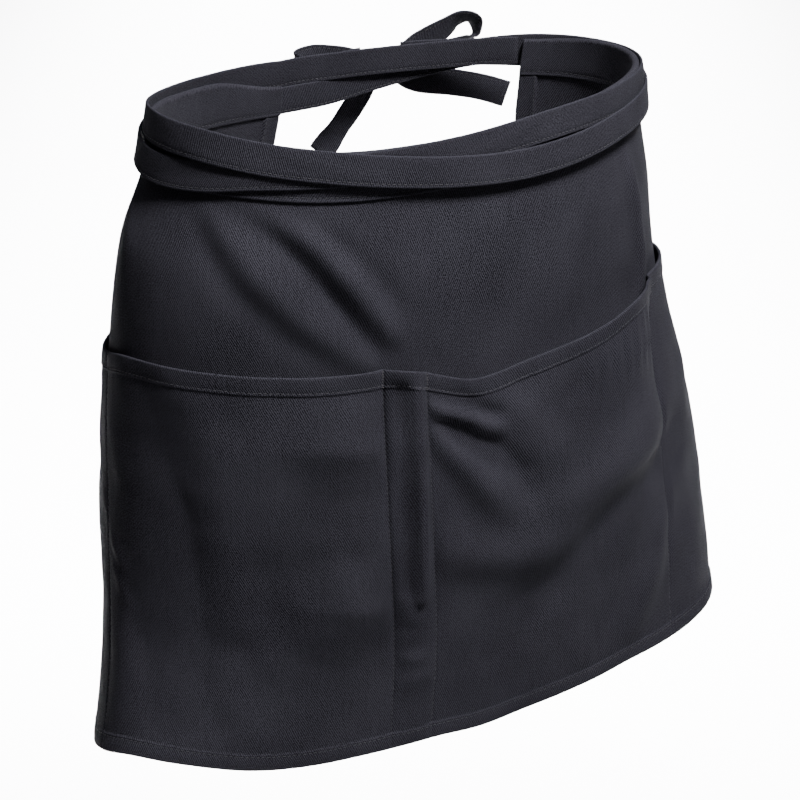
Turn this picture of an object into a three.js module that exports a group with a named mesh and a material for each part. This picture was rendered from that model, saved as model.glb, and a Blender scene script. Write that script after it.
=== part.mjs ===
// A waist apron in its worn form: a skirt panel wrapped round front and sides, a folded waistband, one
// pocket panel sewn down as three pockets, and two straps that cross at the back, cross again in front
// and are tied in a bow behind. Millimetres, +Z up, the wearer faces -Y, and the origin is the middle
// of the waist ring at the height of the waistband's top fold.
import * as THREE from "three";

// The flat apron
const apronWidth = 600;
const skirtLength = 337;
const bandHeight = 25.5;
const pocketHeight = 217;
const leftPocketWidth = 166;
const rightPocketWidth = 178;
const penPocketWidth = 25;

// The waist that it is worn on
const waistHalfWidth = 149;
const waistHalfDepth = 91;

// Cloth and seams
const clothThickness = 1.2;
const hemThickness = 2;
const seamGap = 0.3;
const bottomHem = 8.5;
const sideHem = 9.5;
const pocketHem = 9.5;
const hemStep = 0.8;
const bandLap = 2.5;
const foldEase = 25;

// The straps and their bow
const strapWidth = 16.5;
const strapThickness = 1.6;
const strapGap = 0.5;
const bowStandOff = 11.2;
const knotWidth = 17;
const knotHeight = 19;
const knotDepth = 12;
const knotSquareness = 0.75;

// How finely the cloth is divided, across and down the panels and along the straps, and how finely the
// form is worked out, which runs past a full turn by some degrees at either end
const clothStep = 12;
const skirtRowStep = 20;
const panelRowStep = 29;
const strapStep = 8;
const bowStep = 5.6;
const knotSides = 12;
const knotRings = 9;
const levelCount = 40;
const angleStep = 2;
const angleLap = 60;

// The most that a step of cloth leans outwards from upright, as a share of the step
const steepestLean = 0.95;

// How many places a lobe pushes a ring out in
const lobeCount = 3;

// The rings that the cloth hangs on, from the waist's top to the hem. Drop is a share of the skirt's
// length, the sizes across are shares of the waist's half width and the sizes along of its half depth.
const ringSizes = [
  { drop: 0.0, halfWidth: 1.0, frontDepth: 1.0, backDepth: 1.0, across: 0.0, along: 0.016 },
  { drop: 0.08, halfWidth: 1.027, frontDepth: 1.016, backDepth: 1.038, across: -0.02, along: -0.006 },
  { drop: 0.2, halfWidth: 1.104, frontDepth: 1.049, backDepth: 1.12, across: -0.062, along: -0.044 },
  { drop: 0.36, halfWidth: 1.163, frontDepth: 1.044, backDepth: 1.209, across: -0.075, along: -0.088 },
  { drop: 0.6, halfWidth: 1.268, frontDepth: 1.077, backDepth: 1.33, across: -0.043, along: -0.187 },
  { drop: 0.8, halfWidth: 1.329, frontDepth: 1.066, backDepth: 1.363, across: -0.02, along: -0.264 },
  { drop: 1.0, halfWidth: 1.352, frontDepth: 1.06, backDepth: 1.451, across: -0.09, along: -0.396 },
];

// How the cloth lies on those rings. Lobes push a ring out in three places, the anchor is the angle of the
// pen pocket's middle line, and spread is how far the loose cloth behind the outer seams is eased round.
const ringLies = [
  { drop: 0.0, lobeCos: 0, lobeSin: 0, anchor: -112, spread: 1.04 },
  { drop: 0.08, lobeCos: 0, lobeSin: -0.004, anchor: -111.5, spread: 1.13 },
  { drop: 0.2, lobeCos: 0, lobeSin: -0.008, anchor: -110.5, spread: 1.32 },
  { drop: 0.36, lobeCos: 0, lobeSin: -0.003, anchor: -110, spread: 1.28 },
  { drop: 0.6, lobeCos: -0.004, lobeSin: 0.004, anchor: -111, spread: 1.16 },
  { drop: 0.8, lobeCos: -0.02, lobeSin: -0.005, anchor: -111.5, spread: 1.08 },
  { drop: 1.0, lobeCos: -0.055, lobeSin: -0.055, anchor: -111.5, spread: 1.0 },
];

// How the top fold rises and dips round the waist, as shares of the band's height
const rimRises = [
  { angle: -262, rise: -0.31 },
  { angle: -230, rise: -0.08 },
  { angle: -200, rise: 0.12 },
  { angle: -180, rise: 0.12 },
  { angle: -150, rise: 0.0 },
  { angle: -126, rise: -0.1 },
  { angle: -90, rise: 0.0 },
  { angle: -60, rise: 0.12 },
  { angle: -30, rise: 0.16 },
  { angle: 0, rise: 0.12 },
  { angle: 35, rise: 0.08 },
  { angle: 98, rise: -0.31 },
];

// Folds of the skirt: a ridge from one place to another. Across counts from the pen pocket's middle line
// in half apron widths, drop and width in skirt lengths, and height in cloth thicknesses.
const skirtFolds = [
  { fromAcross: -0.52, fromDrop: 0.13, toAcross: -0.1, toDrop: 0.35, width: 0.03, height: 2.2 },
  { fromAcross: -0.4, fromDrop: 0.13, toAcross: -0.04, toDrop: 0.32, width: 0.024, height: 1.8 },
  { fromAcross: -0.47, fromDrop: 0.12, toAcross: -0.07, toDrop: 0.35, width: 0.016, height: -1.4 },
  { fromAcross: 0.47, fromDrop: 0.1, toAcross: 0.5, toDrop: 0.36, width: 0.035, height: 2.6 },
];

// Folds of the pocket panel, given the same way
const pocketFolds = [
  { fromAcross: 0.05, fromDrop: 0.43, toAcross: 0.3, toDrop: 0.5, width: 0.022, height: -2.0 },
  { fromAcross: 0.07, fromDrop: 0.41, toAcross: 0.34, toDrop: 0.45, width: 0.02, height: 2.0 },
  { fromAcross: 0.07, fromDrop: 0.47, toAcross: 0.36, toDrop: 0.64, width: 0.026, height: -1.6 },
  { fromAcross: 0.012, fromDrop: 0.55, toAcross: 0.016, toDrop: 0.92, width: 0.02, height: 1.6 },
  { fromAcross: -0.48, fromDrop: 0.5, toAcross: -0.46, toDrop: 0.95, width: 0.09, height: -2.2 },
  { fromAcross: -0.2, fromDrop: 0.45, toAcross: -0.22, toDrop: 0.9, width: 0.08, height: 1.6 },
  { fromAcross: 0.46, fromDrop: 0.6, toAcross: 0.5, toDrop: 1.0, width: 0.05, height: 1.8 },
  { fromAcross: 0.34, fromDrop: 0.86, toAcross: 0.36, toDrop: 1.0, width: 0.03, height: -1.6 },
];

// How the pocket mouth and the bottom hem run lower or higher than straight across, as shares of the
// skirt's length at places across in half apron widths
const edgeShifts = [
  { across: -1.0, mouth: 0.0, hem: 0.0 },
  { across: -0.8, mouth: 0.02, hem: 0.01 },
  { across: -0.66, mouth: 0.03, hem: 0.013 },
  { across: -0.59, mouth: 0.019, hem: 0.0 },
  { across: -0.52, mouth: 0.002, hem: -0.014 },
  { across: -0.44, mouth: -0.008, hem: -0.016 },
  { across: -0.3, mouth: -0.014, hem: -0.01 },
  { across: -0.08, mouth: -0.014, hem: -0.014 },
  { across: 0.0, mouth: -0.01, hem: -0.014 },
  { across: 0.06, mouth: 0.01, hem: -0.013 },
  { across: 0.14, mouth: 0.032, hem: -0.007 },
  { across: 0.24, mouth: 0.022, hem: -0.01 },
  { across: 0.4, mouth: 0.006, hem: -0.01 },
  { across: 0.5, mouth: -0.012, hem: -0.012 },
  { across: 0.6, mouth: -0.01, hem: -0.008 },
  { across: 0.8, mouth: 0.0, hem: 0.0 },
  { across: 1.0, mouth: 0.0, hem: 0.0 },
];

// How far each compartment of the pocket panel stands off the skirt at its mouth, in cloth thicknesses,
// where in its width it stands off most, and how fast that fades downwards
const compartments = [
  { name: "left_side", standOff: 2.0, peak: 0.5, fade: 1.3 },
  { name: "left_pocket", standOff: 7.0, peak: 0.6, fade: 0.7 },
  { name: "pen_pocket", standOff: 8.6, peak: 0.5, fade: 0.45 },
  { name: "right_pocket", standOff: 13.0, peak: 0.72, fade: 0.9 },
  { name: "right_side", standOff: 1.6, peak: 0.4, fade: 1.0 },
];

// The straps' ways round the waist. Angle is in degrees, drop is from the top fold to the strap's middle
// line in band heights, and layer counts the straps and bands that it passes over.
const rightTieWay = [
  { angle: 35, drop: 0.42, layer: 0 },
  { angle: 60, drop: 0.36, layer: 0 },
  { angle: 82, drop: 0.2, layer: 0.1 },
  { angle: 97, drop: 0.1, layer: 1 },
  { angle: 125, drop: 0.14, layer: 1 },
  { angle: 150, drop: 0.16, layer: 1 },
  { angle: 175, drop: 0.08, layer: 1 },
  { angle: 187, drop: 0.07, layer: 1.4 },
  { angle: 198, drop: 0.08, layer: 2 },
  { angle: 218, drop: 0.2, layer: 2 },
  { angle: 230, drop: 0.28, layer: 2 },
  { angle: 245, drop: 0.47, layer: 2 },
  { angle: 261, drop: 0.7, layer: 2 },
  { angle: 273, drop: 0.82, layer: 2 },
  { angle: 290, drop: 0.86, layer: 2 },
  { angle: 306, drop: 0.8, layer: 2 },
  { angle: 330, drop: 0.72, layer: 2 },
  { angle: 360, drop: 0.62, layer: 2 },
  { angle: 395, drop: 0.52, layer: 2 },
  { angle: 426, drop: 0.34, layer: 3 },
];
const leftTieWay = [
  { angle: 97.2, drop: 0.86, layer: 0 },
  { angle: 84, drop: 0.92, layer: 0.5 },
  { angle: 73, drop: 0.72, layer: 1 },
  { angle: 50, drop: 0.46, layer: 1 },
  { angle: 33, drop: 0.38, layer: 1 },
  { angle: 10, drop: 0.35, layer: 1 },
  { angle: -30, drop: 0.33, layer: 1 },
  { angle: -60, drop: 0.26, layer: 1 },
  { angle: -82, drop: 0.2, layer: 1 },
  { angle: -99, drop: 0.27, layer: 1 },
  { angle: -116, drop: 0.32, layer: 1 },
  { angle: -133, drop: 0.4, layer: 1 },
  { angle: -148, drop: 0.52, layer: 1 },
  { angle: -160, drop: 0.68, layer: 1 },
  { angle: -174, drop: 0.8, layer: 1 },
  { angle: -190, drop: 0.82, layer: 1.4 },
  { angle: -202, drop: 0.74, layer: 2 },
  { angle: -215, drop: 0.6, layer: 2 },
  { angle: -245, drop: 0.4, layer: 2 },
  { angle: -266, drop: 0.32, layer: 2.4 },
  { angle: -284, drop: 0.3, layer: 3 },
];

// The bow is laid out from its knot. Along points to the wearer's left and counts from the knot's side,
// rise points up and out to the back, both from the knot's middle, all in strap widths. Lean tips the
// strap's width from upright, in degrees.
const knotAngle = 69.5;
const knotDrop = 0.5;
const bowLoopLeft = [
  { along: 0.0, rise: 0.06, out: 0.1, lean: 2 },
  { along: -0.97, rise: 0.18, out: 0.5, lean: 6 },
  { along: -1.97, rise: 0.28, out: 0.62, lean: 8 },
  { along: -2.67, rise: 0.2, out: 0.3, lean: 6 },
  { along: -2.47, rise: 0.06, out: -0.06, lean: 2 },
  { along: -1.27, rise: -0.04, out: -0.12, lean: 0 },
  { along: 0.0, rise: -0.06, out: -0.15, lean: 0 },
];
const bowLoopRight = [
  { along: 0.0, rise: 0.12, out: -0.12, lean: 0 },
  { along: 0.87, rise: 0.3, out: 0.0, lean: 20 },
  { along: 1.87, rise: 0.72, out: 0.25, lean: 40 },
  { along: 2.77, rise: 1.0, out: 0.5, lean: 40 },
  { along: 3.27, rise: 0.74, out: 0.85, lean: 16 },
  { along: 2.97, rise: 0.3, out: 1.05, lean: 0 },
  { along: 1.87, rise: 0.12, out: 0.9, lean: -4 },
  { along: 0.77, rise: 0.08, out: 0.6, lean: -2 },
  { along: 0.0, rise: 0.08, out: 0.26, lean: 0 },
];
const bowTailLeft = [
  { along: 0.26, rise: -0.6, out: 0.32, lean: -40 },
  { along: -0.27, rise: -1.3, out: 0.36, lean: -50 },
  { along: -0.77, rise: -2.0, out: 0.42, lean: -54 },
  { along: -1.27, rise: -2.7, out: 0.5, lean: -56 },
  { along: -1.77, rise: -3.3, out: 0.5, lean: -58 },
];
const bowTailRight = [
  { along: -0.05, rise: -0.36, out: 0.06, lean: 0 },
  { along: 1.07, rise: -0.82, out: 0.22, lean: 6 },
  { along: 2.37, rise: -1.1, out: 0.35, lean: 10 },
  { along: 3.57, rise: -1.4, out: 0.3, lean: 8 },
  { along: 4.57, rise: -1.75, out: 0.2, lean: 4 },
];

// Finishes
const twill = new THREE.MeshStandardMaterial({ color: 0x17171c, roughness: 0.86, metalness: 0 });
const twillBand = new THREE.MeshStandardMaterial({ color: 0x1a1a1f, roughness: 0.84, metalness: 0 });
const twillStrap = new THREE.MeshStandardMaterial({ color: 0x1c1c21, roughness: 0.82, metalness: 0 });

// The pocket panel's seams, from the left side hem to the right one
const panelTop = skirtLength - pocketHeight;
const penHalf = penPocketWidth / 2;
const halfApron = apronWidth / 2;
const leftSeam = -penHalf - leftPocketWidth;
const rightSeam = penHalf + rightPocketWidth;
const innerSeams = [leftSeam, -penHalf, penHalf, rightSeam];
const seams = [-halfApron, ...innerSeams, halfApron];

// A table's columns as smooth functions of its first column
function smoothTable(rows, key, columns) {
  const values = rows.flatMap((row) => columns.map((column) => row[column]));
  const curve = new THREE.CubicInterpolant(rows.map((row) => row[key]), values, columns.length);
  return (at) => {
    const result = curve.evaluate(at);
    return Object.fromEntries(columns.map((column, index) => [column, result[index]]));
  };
}

const sizesAt = smoothTable(ringSizes, "drop", Object.keys(ringSizes[0]).slice(1));
const liesAt = smoothTable(ringLies, "drop", Object.keys(ringLies[0]).slice(1));
const rimAtAngle = smoothTable(rimRises, "angle", ["rise"]);
const firstAngle = rimRises[0].angle;
const fullTurn = 360;

function wrapAngle(angle) {
  return firstAngle + THREE.MathUtils.euclideanModulo(angle - firstAngle, fullTurn);
}

function rimHeight(angle) {
  return rimAtAngle(wrapAngle(angle)).rise * bandHeight;
}

// One ring's plan, as a function of the angle
const waistHalves = new THREE.Vector2(waistHalfWidth, waistHalfDepth);

function ringPlan(ring, angle) {
  const turn = THREE.MathUtils.degToRad(angle);
  const lobeTurn = turn * lobeCount;
  const lobe = 1 + ring.lobeCos * Math.cos(lobeTurn) + ring.lobeSin * Math.sin(lobeTurn);
  const depth = Math.sin(turn) < 0 ? ring.frontDepth : ring.backDepth;
  const across = Math.cos(turn) * ring.halfWidth * lobe;
  const along = Math.sin(turn) * depth * lobe;
  return new THREE.Vector2(ring.across + across, ring.along + along).multiply(waistHalves);
}

// The form's levels: the ring at each, its points all round, and how far round each lies from the anchor.
// Each level lies one step of cloth below the last, so a flaring stretch drops less.
function buildLevels() {
  const angles = [];
  for (let angle = firstAngle - angleLap; angle <= firstAngle + fullTurn + angleLap; angle += angleStep) {
    angles.push(angle);
  }
  const levels = [];
  for (let index = 0; index <= levelCount; index += 1) {
    const ring = { ...sizesAt(index / levelCount), ...liesAt(index / levelCount) };
    const above = levels[index - 1];
    const points = angles.map((angle, place) => {
      const plan = ringPlan(ring, angle);
      if (!above) {
        return new THREE.Vector3(plan.x, plan.y, rimHeight(angle));
      }
      const last = above.points[place];
      const step = skirtLength / levelCount;
      const sideways = Math.min(Math.hypot(plan.x - last.x, plan.y - last.y), step * steepestLean);
      return new THREE.Vector3(plan.x, plan.y, last.z - Math.sqrt(step * step - sideways * sideways));
    });
    const arcs = [0];
    for (let place = 1; place < points.length; place += 1) {
      const before = points[place - 1];
      arcs.push(arcs[place - 1] + Math.hypot(points[place].x - before.x, points[place].y - before.y));
    }
    const anchorArc = sample(angles, arcs, ring.anchor);
    levels.push({ points, arcs: arcs.map((arc) => arc - anchorArc), spread: ring.spread });
  }
  return { angles, levels };
}

// The value at a place along a rising list, between its two neighbours
function sample(places, values, place) {
  let high = 1;
  while (high < places.length - 1 && places[high] < place) {
    high += 1;
  }
  const share = (place - places[high - 1]) / (places[high] - places[high - 1]);
  const low = values[high - 1];
  return low.isVector3 ? low.clone().lerp(values[high], share) : low + (values[high] - low) * share;
}

const form = buildLevels();

// A point of the bare form, from its place round each level and its drop from the top fold
function formPoint(pointOnLevel, drop) {
  const depth = (drop / skirtLength) * levelCount;
  const upper = THREE.MathUtils.clamp(Math.floor(depth), 0, levelCount - 1);
  return pointOnLevel(form.levels[upper]).lerp(pointOnLevel(form.levels[upper + 1]), depth - upper);
}

// By distance across the cloth from the pen pocket's middle line
function clothPoint(across, drop) {
  const beyond = across - THREE.MathUtils.clamp(across, leftSeam, rightSeam);
  return formPoint((level) => sample(level.arcs, level.points, across + beyond * (level.spread - 1)), drop);
}

// By angle round the waist
function ringPoint(angle, drop) {
  return formPoint((level) => sample(form.angles, level.points, wrapAngle(angle)), drop);
}

const probe = 3;

function outward(pointAt, place, drop, reach) {
  const sideways = pointAt(place + reach, drop).sub(pointAt(place - reach, drop));
  const downwards = pointAt(place, drop + probe).sub(pointAt(place, drop - probe));
  return downwards.cross(sideways).normalize();
}

// How far a point lies from a fold's line, and the fold's height there
function foldHeight(fold, across, drop) {
  const place = new THREE.Vector2(across, drop);
  const start = new THREE.Vector2((fold.fromAcross * apronWidth) / 2, fold.fromDrop * skirtLength);
  const end = new THREE.Vector2((fold.toAcross * apronWidth) / 2, fold.toDrop * skirtLength);
  const run = end.clone().sub(start);
  const share = THREE.MathUtils.clamp(place.clone().sub(start).dot(run) / run.lengthSq(), 0, 1);
  const away = place.distanceTo(start.addScaledVector(run, share)) / (fold.width * skirtLength);
  return fold.height * clothThickness * Math.exp(-away * away);
}

function foldsAt(folds, across, drop) {
  return folds.reduce((sum, fold) => sum + foldHeight(fold, across, drop), 0);
}

// The skirt lies still under the waistband, and its folds start below it
function skirtLift(across, drop) {
  const ease = THREE.MathUtils.smoothstep(drop, bandHeight, bandHeight + foldEase);
  return foldsAt(skirtFolds, across, drop) * ease;
}

// The pocket mouth's shift fades above and below it, and the bottom hem's shift fades upwards
const shiftAt = smoothTable(edgeShifts, "across", ["mouth", "hem"]);
const shiftFade = 0.3;

function shiftedDrop(across, drop) {
  const shift = shiftAt(across / halfApron);
  const reach = shiftFade * skirtLength;
  const fade = (edge) => THREE.MathUtils.smoothstep(reach - Math.abs(drop - edge), 0, reach);
  return drop + skirtLength * (shift.mouth * fade(panelTop) + shift.hem * fade(skirtLength));
}

// How far the pocket panel stands off the skirt at a place
function pocketStandOff(across, drop) {
  const index = innerSeams.filter((seam) => across >= seam).length;
  const { standOff, peak, fade } = compartments[index];
  const share = THREE.MathUtils.clamp((across - seams[index]) / (seams[index + 1] - seams[index]), 0, 1);
  const swell = Math.sin(Math.PI * share ** (Math.log(0.5) / Math.log(peak)));
  const down = THREE.MathUtils.clamp((drop - panelTop) / pocketHeight, 0, 1);
  const away = standOff * clothThickness * swell * (1 - down) ** fade;
  return away + foldsAt(pocketFolds, across, drop) * swell * Math.sqrt(1 - down);
}

// A body between two grids of points, closed along its four edges
function slab(frontGrid, backGrid) {
  const columns = frontGrid.length;
  const rows = frontGrid[0].length;
  const positions = [...frontGrid.flat(), ...backGrid.flat()].flatMap((point) => point.toArray());
  const front = (column, row) => column * rows + row;
  const back = (column, row) => columns * rows + front(column, row);
  const faces = [];
  const quad = (a, b, c, d) => faces.push(a, b, c, a, c, d);
  for (let column = 0; column + 1 < columns; column += 1) {
    for (let row = 0; row + 1 < rows; row += 1) {
      quad(front(column, row), front(column, row + 1), front(column + 1, row + 1), front(column + 1, row));
      quad(back(column, row), back(column + 1, row), back(column + 1, row + 1), back(column, row + 1));
    }
    quad(front(column, 0), front(column + 1, 0), back(column + 1, 0), back(column, 0));
    const end = rows - 1;
    quad(front(column, end), back(column, end), back(column + 1, end), front(column + 1, end));
  }
  for (let row = 0; row + 1 < rows; row += 1) {
    const end = columns - 1;
    quad(front(0, row), back(0, row), back(0, row + 1), front(0, row + 1));
    quad(front(end, row), front(end, row + 1), back(end, row + 1), back(end, row));
  }
  const geometry = new THREE.BufferGeometry();
  geometry.setAttribute("position", new THREE.Float32BufferAttribute(positions, 3));
  geometry.setIndex(signedVolume(positions, faces) < 0 ? faces.reverse() : faces);
  geometry.computeVertexNormals();
  return geometry;
}

function signedVolume(positions, faces) {
  const corner = (index) => new THREE.Vector3().fromArray(positions, faces[index] * 3);
  let volume = 0;
  for (let index = 0; index < faces.length; index += 3) {
    volume += corner(index).dot(corner(index + 1).cross(corner(index + 2)));
  }
  return volume;
}

// Places from one end of a stretch to the other, evenly spaced
function evenly(from, to, step) {
  const count = Math.max(1, Math.round(Math.abs(to - from) / step));
  return Array.from({ length: count + 1 }, (unused, index) => from + ((to - from) * index) / count);
}

// The columns and rows that the skirt and the pocket panel share, with a line at each seam and hem
const stops = [-halfApron + sideHem + hemStep, ...innerSeams, halfApron - sideHem - hemStep];
const middleColumns = stops.slice(1).flatMap((stop, index) => evenly(stops[index], stop, clothStep).slice(1));
const columns = [
  -halfApron,
  -halfApron + sideHem,
  stops[0],
  ...middleColumns,
  halfApron - sideHem,
  halfApron,
];
const hemRows = [skirtLength - bottomHem - hemStep, skirtLength - bottomHem, skirtLength];
const panelRows = [
  panelTop,
  panelTop + pocketHem,
  panelTop + pocketHem + hemStep,
  ...evenly(panelTop + pocketHem + hemStep, hemRows[0], panelRowStep).slice(1),
  ...hemRows.slice(1),
];
const skirtRows = [
  bandLap,
  bandHeight / 2,
  ...evenly(bandHeight, panelTop, skirtRowStep),
  ...panelRows.slice(1),
];

function clothGrid(acrossPlaces, dropPlaces, offsetAt) {
  return acrossPlaces.map((across) =>
    dropPlaces.map((drop) => {
      const shifted = shiftedDrop(across, drop);
      const away = outward(clothPoint, across, shifted, probe);
      return clothPoint(across, shifted).addScaledVector(away, offsetAt(across, drop));
    }),
  );
}

// The skirt, thicker on its inner side where the bottom and side hems are turned
function skirtPanel() {
  const turned = (across, drop) => {
    const inSideHem = Math.abs(across) >= halfApron - sideHem && drop > bandHeight;
    return inSideHem || drop >= skirtLength - bottomHem ? hemThickness : clothThickness;
  };
  const outer = (across, drop) => skirtLift(across, drop) + clothThickness / 2;
  const inner = (across, drop) => outer(across, drop) - turned(across, drop);
  return slab(clothGrid(columns, skirtRows, outer), clothGrid(columns, skirtRows, inner));
}

// The pocket panel, a seam's gap outside the skirt, thicker outwards at its mouth and its bottom hem
function pocketPanel() {
  const turned = (drop) => {
    const inHem = drop <= panelTop + pocketHem || drop >= skirtLength - bottomHem;
    return inHem ? hemThickness : clothThickness;
  };
  const seat = clothThickness / 2 + seamGap;
  const inner = (across, drop) => skirtLift(across, drop) + seat + pocketStandOff(across, drop);
  const outer = (across, drop) => inner(across, drop) + turned(drop);
  return slab(clothGrid(columns, panelRows, outer), clothGrid(columns, panelRows, inner));
}

// The waistband's faces, out from the middle of the skirt's cloth
const bandNear = clothThickness / 2 + seamGap;
const bandFar = bandNear + clothThickness;

// The waistband, folded over the skirt's top edge: down its outer leaf, over the fold, up its inner one
function waistband() {
  const leafRows = [bandHeight, bandHeight / 2, bandLap - seamGap];
  const path = (reach, top) => [
    ...leafRows.map((drop) => ({ drop, offset: reach })),
    { drop: top, offset: reach / 2 },
    { drop: top, offset: -reach / 2 },
    ...leafRows.toReversed().map((drop) => ({ drop, offset: -reach })),
  ];
  const grid = (reach, top) =>
    columns.map((across) =>
      path(reach, top).map(({ drop, offset }) => {
        const away = outward(clothPoint, across, drop, probe);
        return clothPoint(across, drop).addScaledVector(away, offset);
      }),
    );
  return slab(grid(bandFar, 0), grid(bandNear, clothThickness));
}

// The distance of each strap layer's middle from the bare form
function layerOffset(layer) {
  const overBand = bandFar + strapGap + strapThickness / 2;
  return layer < 1 ? layer * overBand : overBand + (layer - 1) * (strapThickness + strapGap);
}

// A strap that runs round the waist along its table
function waistStrap(way) {
  const sign = Math.sign(way[1].angle - way[0].angle);
  const rows = way.map((row) => ({ ...row, turn: row.angle * sign }));
  const wayAt = smoothTable(rows, "turn", ["drop", "layer"]);
  const turnStep = THREE.MathUtils.radToDeg((2 * strapStep) / (waistHalfWidth + waistHalfDepth));
  const turns = evenly(way[0].angle * sign, way.at(-1).angle * sign, turnStep);
  const across = [-strapWidth / 2, 0, strapWidth / 2];
  const grid = (side) =>
    turns.map((turn) =>
      across.map((shift) => {
        const { drop, layer } = wayAt(turn);
        const down = drop * bandHeight + shift;
        const away = outward(ringPoint, turn * sign, down, angleStep);
        const offset = layerOffset(layer) + (side * strapThickness) / 2;
        return ringPoint(turn * sign, down).addScaledVector(away, offset);
      }),
    );
  return slab(grid(1), grid(-1));
}

// The knot's place and the directions that the bow is laid out in
const knotDown = knotDrop * bandHeight;
const bowOut = outward(ringPoint, knotAngle, knotDown, angleStep).setZ(0).normalize();
const bowAlong = new THREE.Vector3(bowOut.y, -bowOut.x, 0);
const bowUp = new THREE.Vector3(0, 0, 1);
const bowMiddle = ringPoint(knotAngle, knotDown).addScaledVector(bowOut, bowStandOff);

function bowPoint(along, rise, out) {
  const point = bowMiddle.clone().addScaledVector(bowAlong, along);
  return point.addScaledVector(bowUp, rise).addScaledVector(bowOut, out);
}

// A loose piece of strap that follows its table, its width leaning from upright
function looseStrap(way) {
  const side = Math.sign(way.at(-2).along) * (knotWidth / 2 + seamGap);
  const places = way.map(({ along, rise, out }) => {
    return bowPoint(side + along * strapWidth, rise * strapWidth, out * strapWidth);
  });
  const line = new THREE.CatmullRomCurve3(places, false, "centripetal");
  const leanAt = smoothTable(way.map((row, index) => ({ ...row, index })), "index", ["lean"]);
  const pieces = Math.max(way.length - 1, Math.round(line.getLength() / bowStep));
  const shares = evenly(0, 1, 1 / pieces);
  const edges = [-strapWidth / 2, 0, strapWidth / 2];
  const grid = (side) =>
    shares.map((share) => {
      const ahead = line.getTangent(share);
      const lean = THREE.MathUtils.degToRad(leanAt(share * (way.length - 1)).lean);
      const upright = bowUp.clone().multiplyScalar(Math.cos(lean)).addScaledVector(bowAlong, -Math.sin(lean));
      const face = new THREE.Vector3().crossVectors(ahead, upright).normalize();
      const width = new THREE.Vector3().crossVectors(face, ahead).normalize();
      return edges.map((edge) =>
        line.getPoint(share).addScaledVector(width, edge).addScaledVector(face, (side * strapThickness) / 2),
      );
    });
  return slab(grid(1), grid(-1));
}

// The knot, a small pillow with squared ends
function bowKnot() {
  const geometry = new THREE.SphereGeometry(0.5, knotSides, knotRings);
  const position = geometry.getAttribute("position");
  const squared = (value) => Math.sign(value) * Math.abs(2 * value) ** knotSquareness * 0.5;
  for (let index = 0; index < position.count; index += 1) {
    const local = new THREE.Vector3().fromBufferAttribute(position, index);
    const point = bowPoint(
      squared(local.x) * knotWidth,
      squared(local.z) * knotHeight,
      squared(local.y) * knotDepth,
    );
    position.setXYZ(index, point.x, point.y, point.z);
  }
  return geometry;
}

const apron = new THREE.Group();

function addPiece(name, geometry, material) {
  const mesh = new THREE.Mesh(geometry, material);
  mesh.name = name;
  apron.add(mesh);
}

addPiece("skirt_panel", skirtPanel(), twill);
addPiece("pocket_panel", pocketPanel(), twill);
addPiece("waistband", waistband(), twillBand);
addPiece("right_tie", waistStrap(rightTieWay), twillStrap);
addPiece("left_tie", waistStrap(leftTieWay), twillStrap);
addPiece("bow_knot", bowKnot(), twillStrap);
addPiece("bow_loop_left", looseStrap(bowLoopLeft), twillStrap);
addPiece("bow_loop_right", looseStrap(bowLoopRight), twillStrap);
addPiece("bow_tail_left", looseStrap(bowTailLeft), twillStrap);
addPiece("bow_tail_right", looseStrap(bowTailRight), twillStrap);

export default apron;
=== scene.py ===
"""A waist apron of dark twill in its worn form: skirt, pockets, waistband, straps and bow.

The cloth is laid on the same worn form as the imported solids, from the same sizes, in millimetres. Each
piece is a closed sheet with rounded edges, soft folds and sunk seams, and thread is sewn along its
seams. The wearer faces -Y, +X is the wearer's left, and the origin is the middle of the waist ring.
"""
import logging
import math
from collections.abc import Callable, Sequence
from dataclasses import astuple, dataclass, field
from enum import Enum

import bpy
import numpy as np
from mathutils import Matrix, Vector


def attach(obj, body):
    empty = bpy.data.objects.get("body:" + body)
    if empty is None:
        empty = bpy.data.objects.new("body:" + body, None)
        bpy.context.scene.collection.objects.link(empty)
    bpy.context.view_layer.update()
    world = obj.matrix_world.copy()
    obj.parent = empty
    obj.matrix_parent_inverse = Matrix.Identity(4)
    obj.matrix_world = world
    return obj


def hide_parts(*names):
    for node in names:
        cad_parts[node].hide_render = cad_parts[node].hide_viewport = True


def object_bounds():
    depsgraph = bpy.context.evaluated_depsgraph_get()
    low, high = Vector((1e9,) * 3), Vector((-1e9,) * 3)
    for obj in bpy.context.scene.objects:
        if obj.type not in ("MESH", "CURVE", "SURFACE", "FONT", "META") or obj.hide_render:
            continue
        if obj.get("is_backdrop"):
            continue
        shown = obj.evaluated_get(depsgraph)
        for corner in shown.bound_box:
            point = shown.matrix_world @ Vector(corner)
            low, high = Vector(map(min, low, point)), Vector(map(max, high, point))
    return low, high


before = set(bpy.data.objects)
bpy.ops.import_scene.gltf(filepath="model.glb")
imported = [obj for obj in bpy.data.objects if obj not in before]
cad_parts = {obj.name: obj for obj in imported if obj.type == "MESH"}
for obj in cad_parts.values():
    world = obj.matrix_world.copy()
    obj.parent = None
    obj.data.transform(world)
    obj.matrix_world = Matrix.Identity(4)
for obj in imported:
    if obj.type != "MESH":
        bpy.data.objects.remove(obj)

Array = np.ndarray
Object = bpy.types.Object
Material = bpy.types.Material
Socket = bpy.types.NodeSocket
MM = 0.001
BODY = "root"
log = logging.getLogger("waist_apron")


@dataclass(frozen=True)
class RingSize:
    """A ring that the cloth hangs on: its drop in skirt lengths, its sizes and its place in the waist's."""

    drop: float
    half_width: float
    front_depth: float
    back_depth: float
    across: float
    along: float


@dataclass(frozen=True)
class RingLie:
    """How the cloth lies on a ring: its lobes, the middle line's angle, and the ease behind the seams."""

    drop: float
    lobe_cos: float
    lobe_sin: float
    anchor: float
    spread: float


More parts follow.
